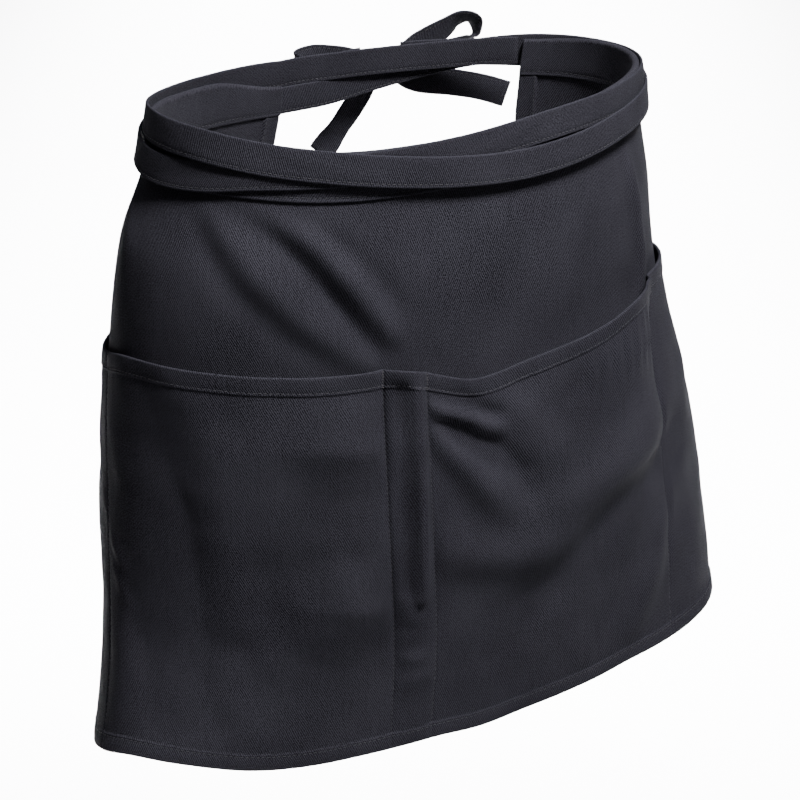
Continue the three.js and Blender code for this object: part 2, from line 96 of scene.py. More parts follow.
@dataclass(frozen=True)
class RimRise:
    """How far the top fold rises at an angle, in band heights."""

    angle: float
    rise: float


@dataclass(frozen=True)
class FoldStop:
    """A place on a fold's line, in millimetres on the flat cloth, with the fold's height and width there."""

    across: float
    drop: float
    height: float
    width: float


@dataclass(frozen=True)
class EdgeShift:
    """How far the pocket mouth and the hem run low at a place across, in skirt lengths."""

    across: float
    mouth: float
    hem: float


@dataclass(frozen=True)
class Compartment:
    """How one pocket stands off: how far in cloth thicknesses, where most, and how fast that fades."""

    stand_off: float
    peak: float
    fade: float


@dataclass(frozen=True)
class StrapStop:
    """A place on a strap's way round the waist: angle, drop in band heights, and layer."""

    angle: float
    drop: float
    layer: float


@dataclass(frozen=True)
class BowStop:
    """A place on a loose strap, in strap widths from the knot's side, and its lean and tilt in degrees."""

    along: float
    rise: float
    out: float
    lean: float
    tilt: float = 0.0


@dataclass(frozen=True)
class StrapTurn:
    """How a loose strap is turned at one of its stops: its lean and its tilt, in degrees."""

    stop: float
    lean: float
    tilt: float


def rows(kind: type, values: Sequence[tuple]) -> tuple:
    """Rows of one kind from their plain values."""
    return tuple(kind(*value) for value in values)


RING_SIZES = rows(RingSize, (
    (0, 1, 1, 1, 0, 0.016), (0.08, 1.027, 1.016, 1.038, -0.02, -0.006),
    (0.2, 1.104, 1.049, 1.12, -0.062, -0.044), (0.36, 1.163, 1.044, 1.209, -0.075, -0.088),
    (0.6, 1.268, 1.077, 1.33, -0.043, -0.187), (0.8, 1.329, 1.066, 1.363, -0.02, -0.264),
    (1, 1.352, 1.06, 1.451, -0.09, -0.396),
))
RING_LIES = rows(RingLie, (
    (0, 0, 0, -112, 1.04), (0.08, 0, -0.004, -111.5, 1.13), (0.2, 0, -0.008, -110.5, 1.32),
    (0.36, 0, -0.003, -110, 1.28), (0.6, -0.004, 0.004, -111, 1.16), (0.8, -0.02, -0.005, -111.5, 1.08),
    (1, -0.055, -0.055, -111.5, 1),
))
RIM_RISES = rows(RimRise, (
    (-262, -0.31), (-230, -0.08), (-200, 0.12), (-180, 0.12), (-150, 0), (-126, -0.1), (-90, 0),
    (-60, 0.12), (-30, 0.16), (0, 0.12), (35, 0.08), (98, -0.31),
))
SKIRT_FOLDS = tuple(rows(FoldStop, stops) for stops in (
    ((-103, 32, 2.1, 7), (-93, 49, 3.1, 8), (-80, 66, 3.1, 9), (-53, 93, 2.8, 9), (-23, 117, 1.6, 7)),
    ((-79, 25, 1.6, 7), (-55, 44, 3.8, 8), (-29, 72, 3.9, 8), (-7, 102, 2.5, 6)),
    ((-90, 29, -1.3, 5), (-71, 44, -3, 6.5), (-51, 62, -3.6, 7), (-32, 87, -2.8, 6), (-15, 111, -1.1, 5)),
    ((-111, 40, -0.7, 6), (-102, 58, -1.5, 7), (-91, 75, -1.5, 8), (-68, 97, -1.1, 8), (-42, 115, -0.5, 6)),
    ((-55, 30, -0.7, 6), (-41, 44, -1.8, 6.5), (-17, 68, -2, 7), (-1, 88, -1, 6)),
    ((163, 40, 1.8, 5), (178, 74, 3.8, 5.5), (187, 107, 3.8, 5.5), (187, 132, 1.8, 6)),
    ((-168, 40, 1.3, 8), (-160, 66, 1.5, 9), (-165, 100, 0.7, 12)),
    ((70, 34, 0.7, 16), (50, 70, 0.8, 14), (24, 104, 0.7, 10)),
))
POCKET_FOLDS = tuple(rows(FoldStop, stops) for stops in (
    ((14, 133, -2, 3.5), (34, 133, -3.2, 4), (53, 144, -2.4, 4)),
    ((15, 140, 3.6, 5), (37, 143, 5, 5.5), (53, 155, 2.6, 6)),
    ((16, 157, 3, 7), (31, 173, 4.6, 8), (45, 192, 4.2, 9), (56, 206, 2.2, 9)),
    ((22, 149, -2.6, 5), (47, 163, -4.4, 6), (68, 187, -3.6, 6.5), (71, 200, -1.4, 6)),
    ((54, 134, 1.6, 8), (70, 152, 4, 11), (86, 180, 3.4, 13), (94, 204, 1.4, 14)),
    ((-4, 131, -3.2, 4), (-4.5, 180, -4.6, 4.5), (-5, 240, -2.6, 4.5)),
    ((20, 224, 3, 13), (59, 238, 5.4, 14), (97, 243, 3.6, 16)),
    ((186, 200, 3.6, 16), (128, 208, 6.6, 20), (78, 228, 3.6, 18)),
    ((204, 219, -2.8, 12), (127, 232, -5, 14), (83, 262, -4, 14), (54, 284, -1.6, 12)),
    ((190, 250, 2.6, 12), (166, 290, 4.4, 14), (152, 320, 2.2, 12)),
    ((106, 298, 0.75, 2.6), (110, 326, 1.35, 3)),
    ((114, 302, 0.6, 2.6), (119, 326, 1.35, 3)),
    ((124, 306, 0.45, 2.6), (128, 325, 0.9, 3)),
    ((6.5, 131, 3.4, 3), (6, 160, 5.4, 3.2), (4.5, 200, 5.4, 3.2), (2.5, 246, 3.8, 3)),
    ((-7, 256, 0.6, 3), (1, 260, 1.35, 3), (9, 254, 0.6, 3)),
    ((-8, 270, 0.9, 3.5), (8, 267, 1.2, 3.5)),
    ((-8, 282, 1.2, 3.5), (8, 285, 0.6, 3.5)),
    ((-8, 298, 0.75, 4), (8, 296, 1.05, 4)),
    ((-134, 150, -1.2, 18), (-130, 200, -5, 20), (-131, 250, -5, 20), (-128, 305, -1.6, 18)),
    ((-34, 132, 1.2, 22), (-34, 160, 7, 24), (-36, 184, 1, 20)),
    ((-36, 214, 2, 20), (-38, 245, 8, 24), (-46, 280, 1.5, 20)),
    ((-164, 250, 0.9, 10), (-160, 290, 2.4, 12), (-162, 322, 1.2, 10)),
    ((-112, 140, 0.9, 12), (-104, 190, 1.8, 14), (-96, 250, 1.5, 14)),
    ((-170, 226, 1.35, 3.5), (-158, 240, 0.3, 4)),
    ((-170, 240, 1.35, 3.5), (-156, 256, 0.3, 4)),
    *(((112 + 9.3 * k, 132, 0.6, 2.4), (114 + 9.5 * k, 144 + k, 1.8, 2.6),
       (116 + 9.8 * k, 158 + 2 * k, 0.2, 3)) for k in range(7)),
))
EDGE_SHIFTS = rows(EdgeShift, (
    (-1, 0, 0), (-0.8, 0.02, 0.01), (-0.66, 0.03, 0.013), (-0.59, 0.019, 0), (-0.52, 0.002, -0.014),
    (-0.44, -0.008, -0.016), (-0.3, -0.014, -0.01), (-0.08, -0.014, -0.014), (0, -0.01, -0.014),
    (0.06, 0.01, -0.013), (0.14, 0.032, -0.007), (0.24, 0.022, -0.01), (0.4, 0.006, -0.01),
    (0.5, -0.012, -0.012), (0.6, -0.01, -0.008), (0.8, 0, 0), (1, 0, 0),
))
COMPARTMENTS = rows(Compartment, (
    (2, 0.5, 1.3), (4.2, 0.6, 0.6), (5.2, 0.5, 0.45), (13, 0.72, 0.9), (1.6, 0.4, 1),
))
RIGHT_STRAP = rows(StrapStop, (
    (35, 0.42, 0), (60, 0.36, 0), (82, 0.2, 0.1), (97, 0.1, 1), (125, 0.14, 1), (150, 0.16, 1),
    (175, 0.08, 1), (187, 0.07, 1.4), (198, 0.08, 2), (218, 0.2, 2), (230, 0.28, 2), (245, 0.47, 2),
    (261, 0.7, 2), (273, 0.82, 2), (290, 0.86, 2), (306, 0.8, 2), (330, 0.72, 2), (360, 0.62, 2),
    (395, 0.52, 2), (426, 0.34, 3),
))
LEFT_STRAP = rows(StrapStop, (
    (98.3, 0.68, 0), (84, 0.8, 0.5), (73, 0.72, 1), (50, 0.46, 1), (33, 0.38, 1), (10, 0.35, 1),
    (-30, 0.33, 1), (-60, 0.26, 1), (-82, 0.2, 1), (-99, 0.27, 1), (-116, 0.32, 1), (-133, 0.4, 1),
    (-148, 0.52, 1), (-160, 0.68, 1), (-174, 0.8, 1), (-190, 0.82, 1.4), (-202, 0.74, 2), (-215, 0.6, 2),
    (-245, 0.4, 2), (-266, 0.32, 2.4), (-284, 0.3, 3),
))
LOOP_LEFT = rows(BowStop, (
    (0, 0.06, 0.1, 2), (-0.97, 0.18, 0.5, 6), (-1.97, 0.28, 0.62, 8), (-2.67, 0.2, 0.3, 6),
    (-2.47, 0.06, -0.06, 2), (-1.27, -0.04, -0.12, 0), (0, -0.06, -0.15, 0),
))
LOOP_RIGHT = rows(BowStop, (
    (0, 0.12, -0.12, 0), (0.87, 0.56, -0.02, 26, -6), (1.8, 0.96, 0.06, 36, -22), (2.6, 1.28, 0.2, 34, -42),
    (3.2, 1.12, 0.38, 20, -52), (3.3, 0.62, 0.5, 0, -46), (2.8, 0.2, 0.55, -4, -26), (1.7, 0, 0.5, -4, -8),
    (0.77, 0.04, 0.4, -2), (0, 0.08, 0.26, 0),
))
TAIL_LEFT = rows(BowStop, (
    (0.26, -0.6, 0.32, -40), (-0.27, -1.3, 0.36, -50), (-0.77, -2, 0.42, -54), (-1.27, -2.7, 0.5, -56),
    (-1.77, -3.3, 0.5, -58),
))
TAIL_RIGHT = rows(BowStop, (
    (-0.05, -0.36, 0.06, 0), (1.07, -0.82, 0.22, 6), (2.37, -1.1, 0.35, 10), (3.57, -1.4, 0.3, 8),
    (4.57, -1.75, 0.2, 4),
))


class SmoothTable:
    """The columns of a table as smooth functions of its first column."""

    def __init__(self, table: Sequence) -> None:
        """Takes the rows of one table.

        Args:
            table: Dataclass rows, the first column rising.
        """
        data = np.array([astuple(row) for row in table], float)
        self.places = data[:, 0]
        self.values = data[:, 1:]

    def at(self, where: Array) -> Array:
        """Reads every column at some places, held at the table's ends.

        Args:
            where: Places on the first column, in any shape.

        Returns:
            An array whose last axis holds the columns.
        """
        places, last = self.places, len(self.places) - 1
        where = np.clip(np.asarray(where, float), places[0], places[-1])
        high = np.clip(np.searchsorted(places, where, side="right"), 1, last)
        low = high - 1
        before = np.where(low > 0, low - 1, high)
        after = np.where(high < last, high + 1, low)
        start, end = places[low], places[high]
        half = (end - start) / 2
        lead = (half / (start - places[before]))[..., None]
        trail = (half / (places[after] - end))[..., None]
        t = ((where - start) / (end - start))[..., None]
        t2, t3 = t * t, t * t * t
        result = (-lead * t3 + 2 * lead * t2 - lead * t) * self.values[before]
        result += ((1 + lead) * t3 - (1.5 + 2 * lead) * t2 + (lead - 0.5) * t + 1) * self.values[low]
        result += ((-1 - trail) * t3 + (1.5 + trail) * t2 + 0.5 * t) * self.values[high]
        return result + (trail * t3 - trail * t2) * self.values[after]


def smoothstep(value: Array, low: float, high: float) -> Array:
    """Eases from 0 at low to 1 at high."""
    share = np.clip((value - low) / (high - low), 0, 1)
    return share * share * (3 - 2 * share)


def unit(vectors: Array) -> Array:
    """Vectors of length one, along the last axis."""
    return vectors / np.linalg.norm(vectors, axis=-1, keepdims=True)


@dataclass
class WornForm:
    """The form that the cloth takes on a wearer's waist, worked out level by level from the rings."""

    waist_half_width: float = 149.0
    waist_half_depth: float = 91.0
    apron_width: float = 600.0
    skirt_length: float = 337.0
    band_height: float = 25.5
    pocket_height: float = 217.0
    left_pocket_width: float = 166.0
    right_pocket_width: float = 178.0
    pen_pocket_width: float = 25.0
    level_count: int = 160
    angle_step: float = 0.5
    angle_lap: float = 60.0
    steepest_lean: float = 0.95
    lobe_count: int = 3
    probe: float = 3.0
    turn_probe: float = 2.0
    shift_fade: float = 0.3
    left_taper: float = 8.5
    right_taper: float = 4.0
    taper_reach: float = 55.0

    def __post_init__(self) -> None:
        """Works out the seams and every level's points and arcs."""
        self.half_apron = self.apron_width / 2
        self.panel_top = self.skirt_length - self.pocket_height
        pen_half = self.pen_pocket_width / 2
        self.inner_seams = (
            -pen_half - self.left_pocket_width, -pen_half, pen_half, pen_half + self.right_pocket_width,
        )
        self.seams = (-self.half_apron, *self.inner_seams, self.half_apron)
        self.shifts = SmoothTable(EDGE_SHIFTS)
        self.rim = SmoothTable(RIM_RISES)
        self.first_angle = RIM_RISES[0].angle
        self.angles = np.arange(
            self.first_angle - self.angle_lap,
            self.first_angle + 360 + self.angle_lap + self.angle_step / 2,
            self.angle_step,
        )
        self._build_levels()

    def _build_levels(self) -> None:
        """Lets each level hang one step of cloth below the last, so that a flaring stretch drops less."""
        shares = np.linspace(0, 1, self.level_count + 1)
        sizes, lies = SmoothTable(RING_SIZES).at(shares), SmoothTable(RING_LIES).at(shares)
        turn = np.radians(self.angles)
        step = self.skirt_length / self.level_count
        points, arcs = [], []
        height = self.rim.at(self.wrap(self.angles))[..., 0] * self.band_height
        for size, lie in zip(sizes, lies):
            half_width, front_depth, back_depth, across, along = size
            lobe = 1 + lie[0] * np.cos(self.lobe_count * turn) + lie[1] * np.sin(self.lobe_count * turn)
            depth = np.where(np.sin(turn) < 0, front_depth, back_depth)
            x = (across + np.cos(turn) * half_width * lobe) * self.waist_half_width
            y = (along + np.sin(turn) * depth * lobe) * self.waist_half_depth
            if points:
                sideways = np.hypot(x - points[-1][:, 0], y - points[-1][:, 1])
                sideways = np.minimum(sideways, step * self.steepest_lean)
                height = height - np.sqrt(step * step - sideways * sideways)
            run = np.concatenate([[0.0], np.cumsum(np.hypot(np.diff(x), np.diff(y)))])
            points.append(np.stack([x, y, height], axis=1))
            arcs.append(run - np.interp(lie[2], self.angles, run))
        self.level_points = np.array(points)
        self.level_arcs = np.array(arcs)
        self.level_spread = lies[:, 3]

    def wrap(self, angle: Array) -> Array:
        """Brings angles into the one turn that the rim's table covers."""
        return self.first_angle + np.mod(np.asarray(angle, float) - self.first_angle, 360)

    def _on_levels(self, drop: Array, places_on: Callable[[int, Array], tuple[Array, Array]]) -> Array:
        """Reads points between two levels.

        Args:
            drop: Distances down the cloth.
            places_on: Gives the places that a mask picks on a level, and those of the level's points.

        Returns:
            The points, one more axis than drop.
        """

        def locate(level: int, here: Array) -> Array:
            """The points on one level."""
            place, known = places_on(level, here)
            points = self.level_points[level].T
            return np.stack([np.interp(place, known, values) for values in points], axis=1)

        depth = drop / self.skirt_length * self.level_count
        upper = np.clip(np.floor(depth), 0, self.level_count - 1).astype(int)
        result = np.empty(drop.shape + (3,))
        for level in np.unique(upper):
            here = upper == level
            high, low = locate(level, here), locate(level + 1, here)
            result[here] = high + (low - high) * (depth[here] - level)[:, None]
        return result

    def cloth_point(self, across: Array, drop: Array) -> Array:
        """The bare form at a distance across the cloth from the pen pocket's middle line, and a drop."""
        across, drop = np.broadcast_arrays(np.asarray(across, float), np.asarray(drop, float))
        beyond = across - np.clip(across, self.inner_seams[0], self.inner_seams[-1])

        def places_on(level: int, here: Array) -> tuple[Array, Array]:
            """Places by the distance round a level."""
            return across[here] + beyond[here] * (self.level_spread[level] - 1), self.level_arcs[level]

        return self._on_levels(drop, places_on)

    def ring_point(self, angle: Array, drop: Array) -> Array:
        """The bare form at an angle round the waist, and a drop."""
        angle, drop = np.broadcast_arrays(np.asarray(angle, float), np.asarray(drop, float))
        wrapped = self.wrap(angle)
        return self._on_levels(drop, lambda level, here: (wrapped[here], self.angles))

    def outward(
        self, point_at: Callable[[Array, Array], Array], place: Array, drop: Array, reach: float
    ) -> Array:
        """The form's outward direction, from its neighbours on all four sides.

        Args:
            point_at: Either cloth_point or ring_point.
            place: Distances across, or angles.
            drop: Drops at the same places.
            reach: How far to either side the form is read.

        Returns:
            Unit vectors.
        """
        sideways = point_at(place + reach, drop) - point_at(place - reach, drop)
        downwards = point_at(place, drop + self.probe) - point_at(place, drop - self.probe)
        return unit(np.cross(downwards, sideways))

    def shifted(self, across: Array, drop: Array) -> Array:
        """A drop with the pocket mouth's and the hem's own shifts added, which fade away from them."""
        shift = self.shifts.at(across / self.half_apron)
        reach = self.shift_fade * self.skirt_length

        def fade(edge: float) -> Array:
            """How much of an edge's shift a drop takes."""
            return smoothstep(reach - np.abs(drop - edge), 0, reach)

        moved = shift[..., 0] * fade(self.panel_top) + shift[..., 1] * fade(self.skirt_length)
        return self.tapered(across, drop + self.skirt_length * moved)

    def tapered(self, across: Array, drop: Array) -> Array:
        """A drop in the band, with its ends narrowed towards the straps' width.

        Args:
            across: Distances across.
            drop: Distances down.

        Returns:
            Drops, unchanged away from the ends.
        """
        start = self.half_apron - self.taper_reach
        narrowed = np.where(across < 0, self.left_taper, self.right_taper)
        narrowed = narrowed * smoothstep(np.abs(across), start, self.half_apron)
        return drop + narrowed * np.clip(1 - drop / self.band_height, 0, 1)

    def laid(self, across: Array, drop: Array, offset: Array) -> tuple[Array, Array]:
        """Points of a panel, an offset out from the form.

        Args:
            across: Distances across the flat panel.
            drop: Distances down the flat panel.
            offset: Distances out from the form.

        Returns:
            Points in millimetres, and the outward directions there.
        """
        across, drop = np.broadcast_arrays(across, drop)
        shifted = self.shifted(across, drop)
        away = self.outward(self.cloth_point, across, shifted, self.probe)
        return self.cloth_point(across, shifted) + away * np.asarray(offset)[..., None], away

    def folds_at(self, folds: Sequence[Sequence[FoldStop]], across: Array, drop: Array) -> Array:
        """The summed height of some folds, each along its own line of stops.

        Args:
            folds: The folds.
            across: Distances across.
            drop: Distances down.

        Returns:
            Heights in millimetres.
        """
        across, drop = np.broadcast_arrays(across, drop)
        total = np.zeros(across.shape)
        for fold in folds:
            stops = np.array([astuple(stop) for stop in fold])
            nearest = np.full(across.shape, np.inf)
            lift = np.zeros(across.shape)
            for start, end in zip(stops[:-1], stops[1:]):
                run = end[:2] - start[:2]
                share = ((across - start[0]) * run[0] + (drop - start[1]) * run[1]) / (run @ run)
                share = np.clip(share, 0, 1)
                away = np.hypot(across - start[0] - share * run[0], drop - start[1] - share * run[1])
                height = start[2] + (end[2] - start[2]) * share
                width = start[3] + (end[3] - start[3]) * share
                closer = away < nearest
                lift = np.where(closer, height * np.exp(-((away / width) ** 2)), lift)
                nearest = np.minimum(nearest, away)
            total += lift
        return total


@dataclass(frozen=True)
class Crumple:
    """The slow unevenness of cloth, as a sum of waves with a fixed seed."""

    height: float
    shortest: float
    longest: float
    count: int
    seed: int

    def at(self, across: Array, drop: Array) -> Array:
        """Heights of the unevenness, in the units of its height.

        Args:
            across: Distances across.
            drop: Distances down.

        Returns:
            Heights.
        """
        chance = np.random.default_rng(self.seed)
        total = np.zeros(np.broadcast(across, drop).shape)
        for _ in range(self.count):
            wave = chance.uniform(self.shortest, self.longest)
            turn, phase = chance.uniform(0, math.pi), chance.uniform(0, math.tau)
            place = across * math.cos(turn) + drop * math.sin(turn)
            total += np.sin(place * math.tau / wave + phase) * wave / self.longest
        return total * self.height / math.sqrt(self.count)


@dataclass(frozen=True)
class Pucker:
    """How thread pulls cloth in along a seam: a groove, and ripples that run out of it."""

    depth: float = 0.42
    width: float = 0.9
    ripple: float = 0.16
    ripple_pitch: float = 7.5
    ripple_reach: float = 6.0
    drift: float = 1.7
    drift_run: float = 23.0

    def at(self, away: Array, along: Array) -> Array:
        """Heights near a seam.

        Args:
            away: Distances from the seam.
            along: Distances along it.

        Returns:
            Heights, most of them below zero.
        """
        groove = -self.depth * np.exp(-((away / self.width) ** 2))
        drift = self.drift * np.sin(along / self.drift_run)
        waves = np.sin(along * math.tau / self.ripple_pitch + drift)
        return groove + self.ripple * waves * np.exp(-np.abs(away) / self.ripple_reach)


def edge_round(distance: Array, radius: float) -> Array:
    """The share of a sheet's half thickness left at a distance from its edge, for a round edge."""
    thinnest = 0.015
    share = 1 - np.clip(distance / radius, 0, 1)
    return np.sqrt(np.clip(1 - share * share, thinnest, 1))


def fine_places(start: float, end: float, step: float, lines: Sequence[float] = ()) -> Array:
    """Places from start to end, closer together at both ends and at some lines.

    Args:
        start: The first place.
        end: The last place.
        step: The widest spacing.
        lines: Places that a crease or a seam runs through.

    Returns:
        Rising places.
    """
    near_edge = (0.0, 0.12, 0.35, 0.7, 1.2)
    near_line = (-1.6, -0.9, -0.4, 0.0, 0.4, 0.9, 1.6)
    margin, closest = 1.4, 0.08
    fixed = [start + gap for gap in near_edge] + [end - gap for gap in near_edge]
    beside = [line + gap for line in lines for gap in near_line]
    fixed += [place for place in beside if start + margin < place < end - margin]
    fixed = np.unique(np.round(fixed, 4))
    places = [fixed[0]]
    for low, high in zip(fixed[:-1], fixed[1:]):
        if high - low < closest:
            continue
        count = max(1, round((high - low) / step))
        places.extend(low + (high - low) * np.arange(1, count + 1) / count)
    return np.array(places)


def show(name: str, data: bpy.types.ID) -> Object:
    """Makes an object of some data and shows it in the scene."""
    made = bpy.data.objects.new(name, data)
    bpy.context.scene.collection.objects.link(made)
    return made


def run_along(points: Array) -> Array:
    """Each point's distance along its line."""
    return np.concatenate([[0.0], np.cumsum(np.linalg.norm(np.diff(points, axis=0), axis=1))])


def add_mesh(name: str, points: Array, faces: Array, uv: Array, wear: Array | None = None) -> Object:
    """Makes a smooth mesh object at the origin, its place in its points.

    Args:
        name: The object's name.
        points: Points in millimetres, one row each.
        faces: Corners of each face.
        uv: Each point's place on the flat cloth, in millimetres.
        wear: Each point's wear, from 0 to 1.

    Returns:
        The object.
    """
    corners = points[faces]
    volume = 0.0
    for k in range(1, faces.shape[1] - 1):
        cross = np.cross(corners[:, k], corners[:, k + 1])
        volume += np.einsum("ij,ij->i", corners[:, 0], cross).sum()
    if volume < 0:
        faces = faces[:, ::-1]
    mesh = bpy.data.meshes.new(name)
    mesh.from_pydata((points * MM).tolist(), [], faces.tolist())
    mesh.polygons.foreach_set("use_smooth", np.ones(len(mesh.polygons), bool))
    layer = mesh.uv_layers.new(name="cloth")
    index = np.empty(len(mesh.loops), np.int32)
    mesh.loops.foreach_get("vertex_index", index)
    layer.data.foreach_set("uv", (uv[index] * MM).astype(np.float32).ravel())
    attribute = mesh.attributes.new("wear", "FLOAT", "POINT")
    values = np.zeros(len(points)) if wear is None else wear
    attribute.data.foreach_set("value", values.astype(np.float32))
    mesh.update()
    return show(name, mesh)


def add_slab(name: str, front: Array, back: Array, uv: Array, wear: Array | None = None) -> Object:
    """Makes a closed sheet between two grids of points.

    Args:
        name: The object's name.
        front: The front face's points, columns by rows by three.
        back: The back face's points, alike.
        uv: Places on the flat cloth, columns by rows by two.
        wear: Wear at each grid point.

    Returns:
        The object.
    """
    columns, rows = front.shape[:2]
    near = np.arange(columns * rows).reshape(columns, rows)
    far = near + columns * rows

    def quads(*corners: Array) -> Array:
        """Faces from their four corners' grids."""
        return np.stack([corner.ravel() for corner in corners], axis=1)

    faces = np.concatenate([
        quads(near[:-1, :-1], near[:-1, 1:], near[1:, 1:], near[1:, :-1]),
        quads(far[:-1, :-1], far[1:, :-1], far[1:, 1:], far[:-1, 1:]),
        quads(near[:-1, 0], near[1:, 0], far[1:, 0], far[:-1, 0]),
        quads(near[:-1, -1], far[:-1, -1], far[1:, -1], near[1:, -1]),
        quads(near[0, :-1], far[0, :-1], far[0, 1:], near[0, 1:]),
        quads(near[-1, :-1], near[-1, 1:], far[-1, 1:], far[-1, :-1]),
    ])
    points = np.concatenate([front.reshape(-1, 3), back.reshape(-1, 3)])
    flat = uv.reshape(-1, 2)
    marks = None if wear is None else np.tile(wear.ravel(), 2)
    return add_mesh(name, points, faces, np.concatenate([flat, flat]), marks)


class Nodes:
    """A short way to add and link the nodes of one tree."""

    def __init__(self, tree: bpy.types.NodeTree) -> None:
        """Keeps the tree that nodes are added to."""
        self.tree = tree

    def add(self, kind: str, inputs: dict | None = None, **settings: object) -> bpy.types.Node:
        """Adds a node.

        Args:
            kind: The node's type.
            inputs: Values or sockets for its inputs, by name or index.
            settings: The node's own properties.

        Returns:
            The node.
        """
        node = self.tree.nodes.new(kind)
        for key, value in settings.items():
            setattr(node, key, value)
        for key, value in (inputs or {}).items():
            if isinstance(value, Socket):
                self.tree.links.new(value, node.inputs[key])
            else:
                node.inputs[key].default_value = value
        return node

    def math(self, operation: str, *values: object) -> Socket:
        """Adds a Math node and returns its result."""
        return self.add("ShaderNodeMath", dict(enumerate(values)), operation=operation).outputs[0]

    def noise(self, place: Socket, scale: float, detail: float, **more: float) -> Socket:
        """Adds a Noise node and returns its value."""
        inputs = {"Vector": place, "Scale": scale, "Detail": detail, **more}
        return self.add("ShaderNodeTexNoise", inputs).outputs[0]

    def ramp(self, value: Socket, *stops: tuple[float, Sequence[float]]) -> Socket:
        """Adds a colour ramp between two stops, each a position and a colour, and returns its colour."""
        node = self.add("ShaderNodeValToRGB", {0: value})
        for element, (position, colour) in zip(node.color_ramp.elements, stops):
            element.position = position
            element.color = (*colour, 1)
        return node.outputs[0]

    def shade(self, inputs: dict) -> None:
        """Adds the shader with its inputs, and the material's output."""
        shader = self.add("ShaderNodeBsdfPrincipled", inputs)
        self.add("ShaderNodeOutputMaterial", {"Surface": shader.outputs[0]})


def blank_material(name: str) -> tuple[Material, Nodes]:
    """A new material with an empty tree, and the way to add its nodes."""
    made = bpy.data.materials.new(name)
    made.use_nodes = True
    made.node_tree.nodes.clear()
    return made, Nodes(made.node_tree)


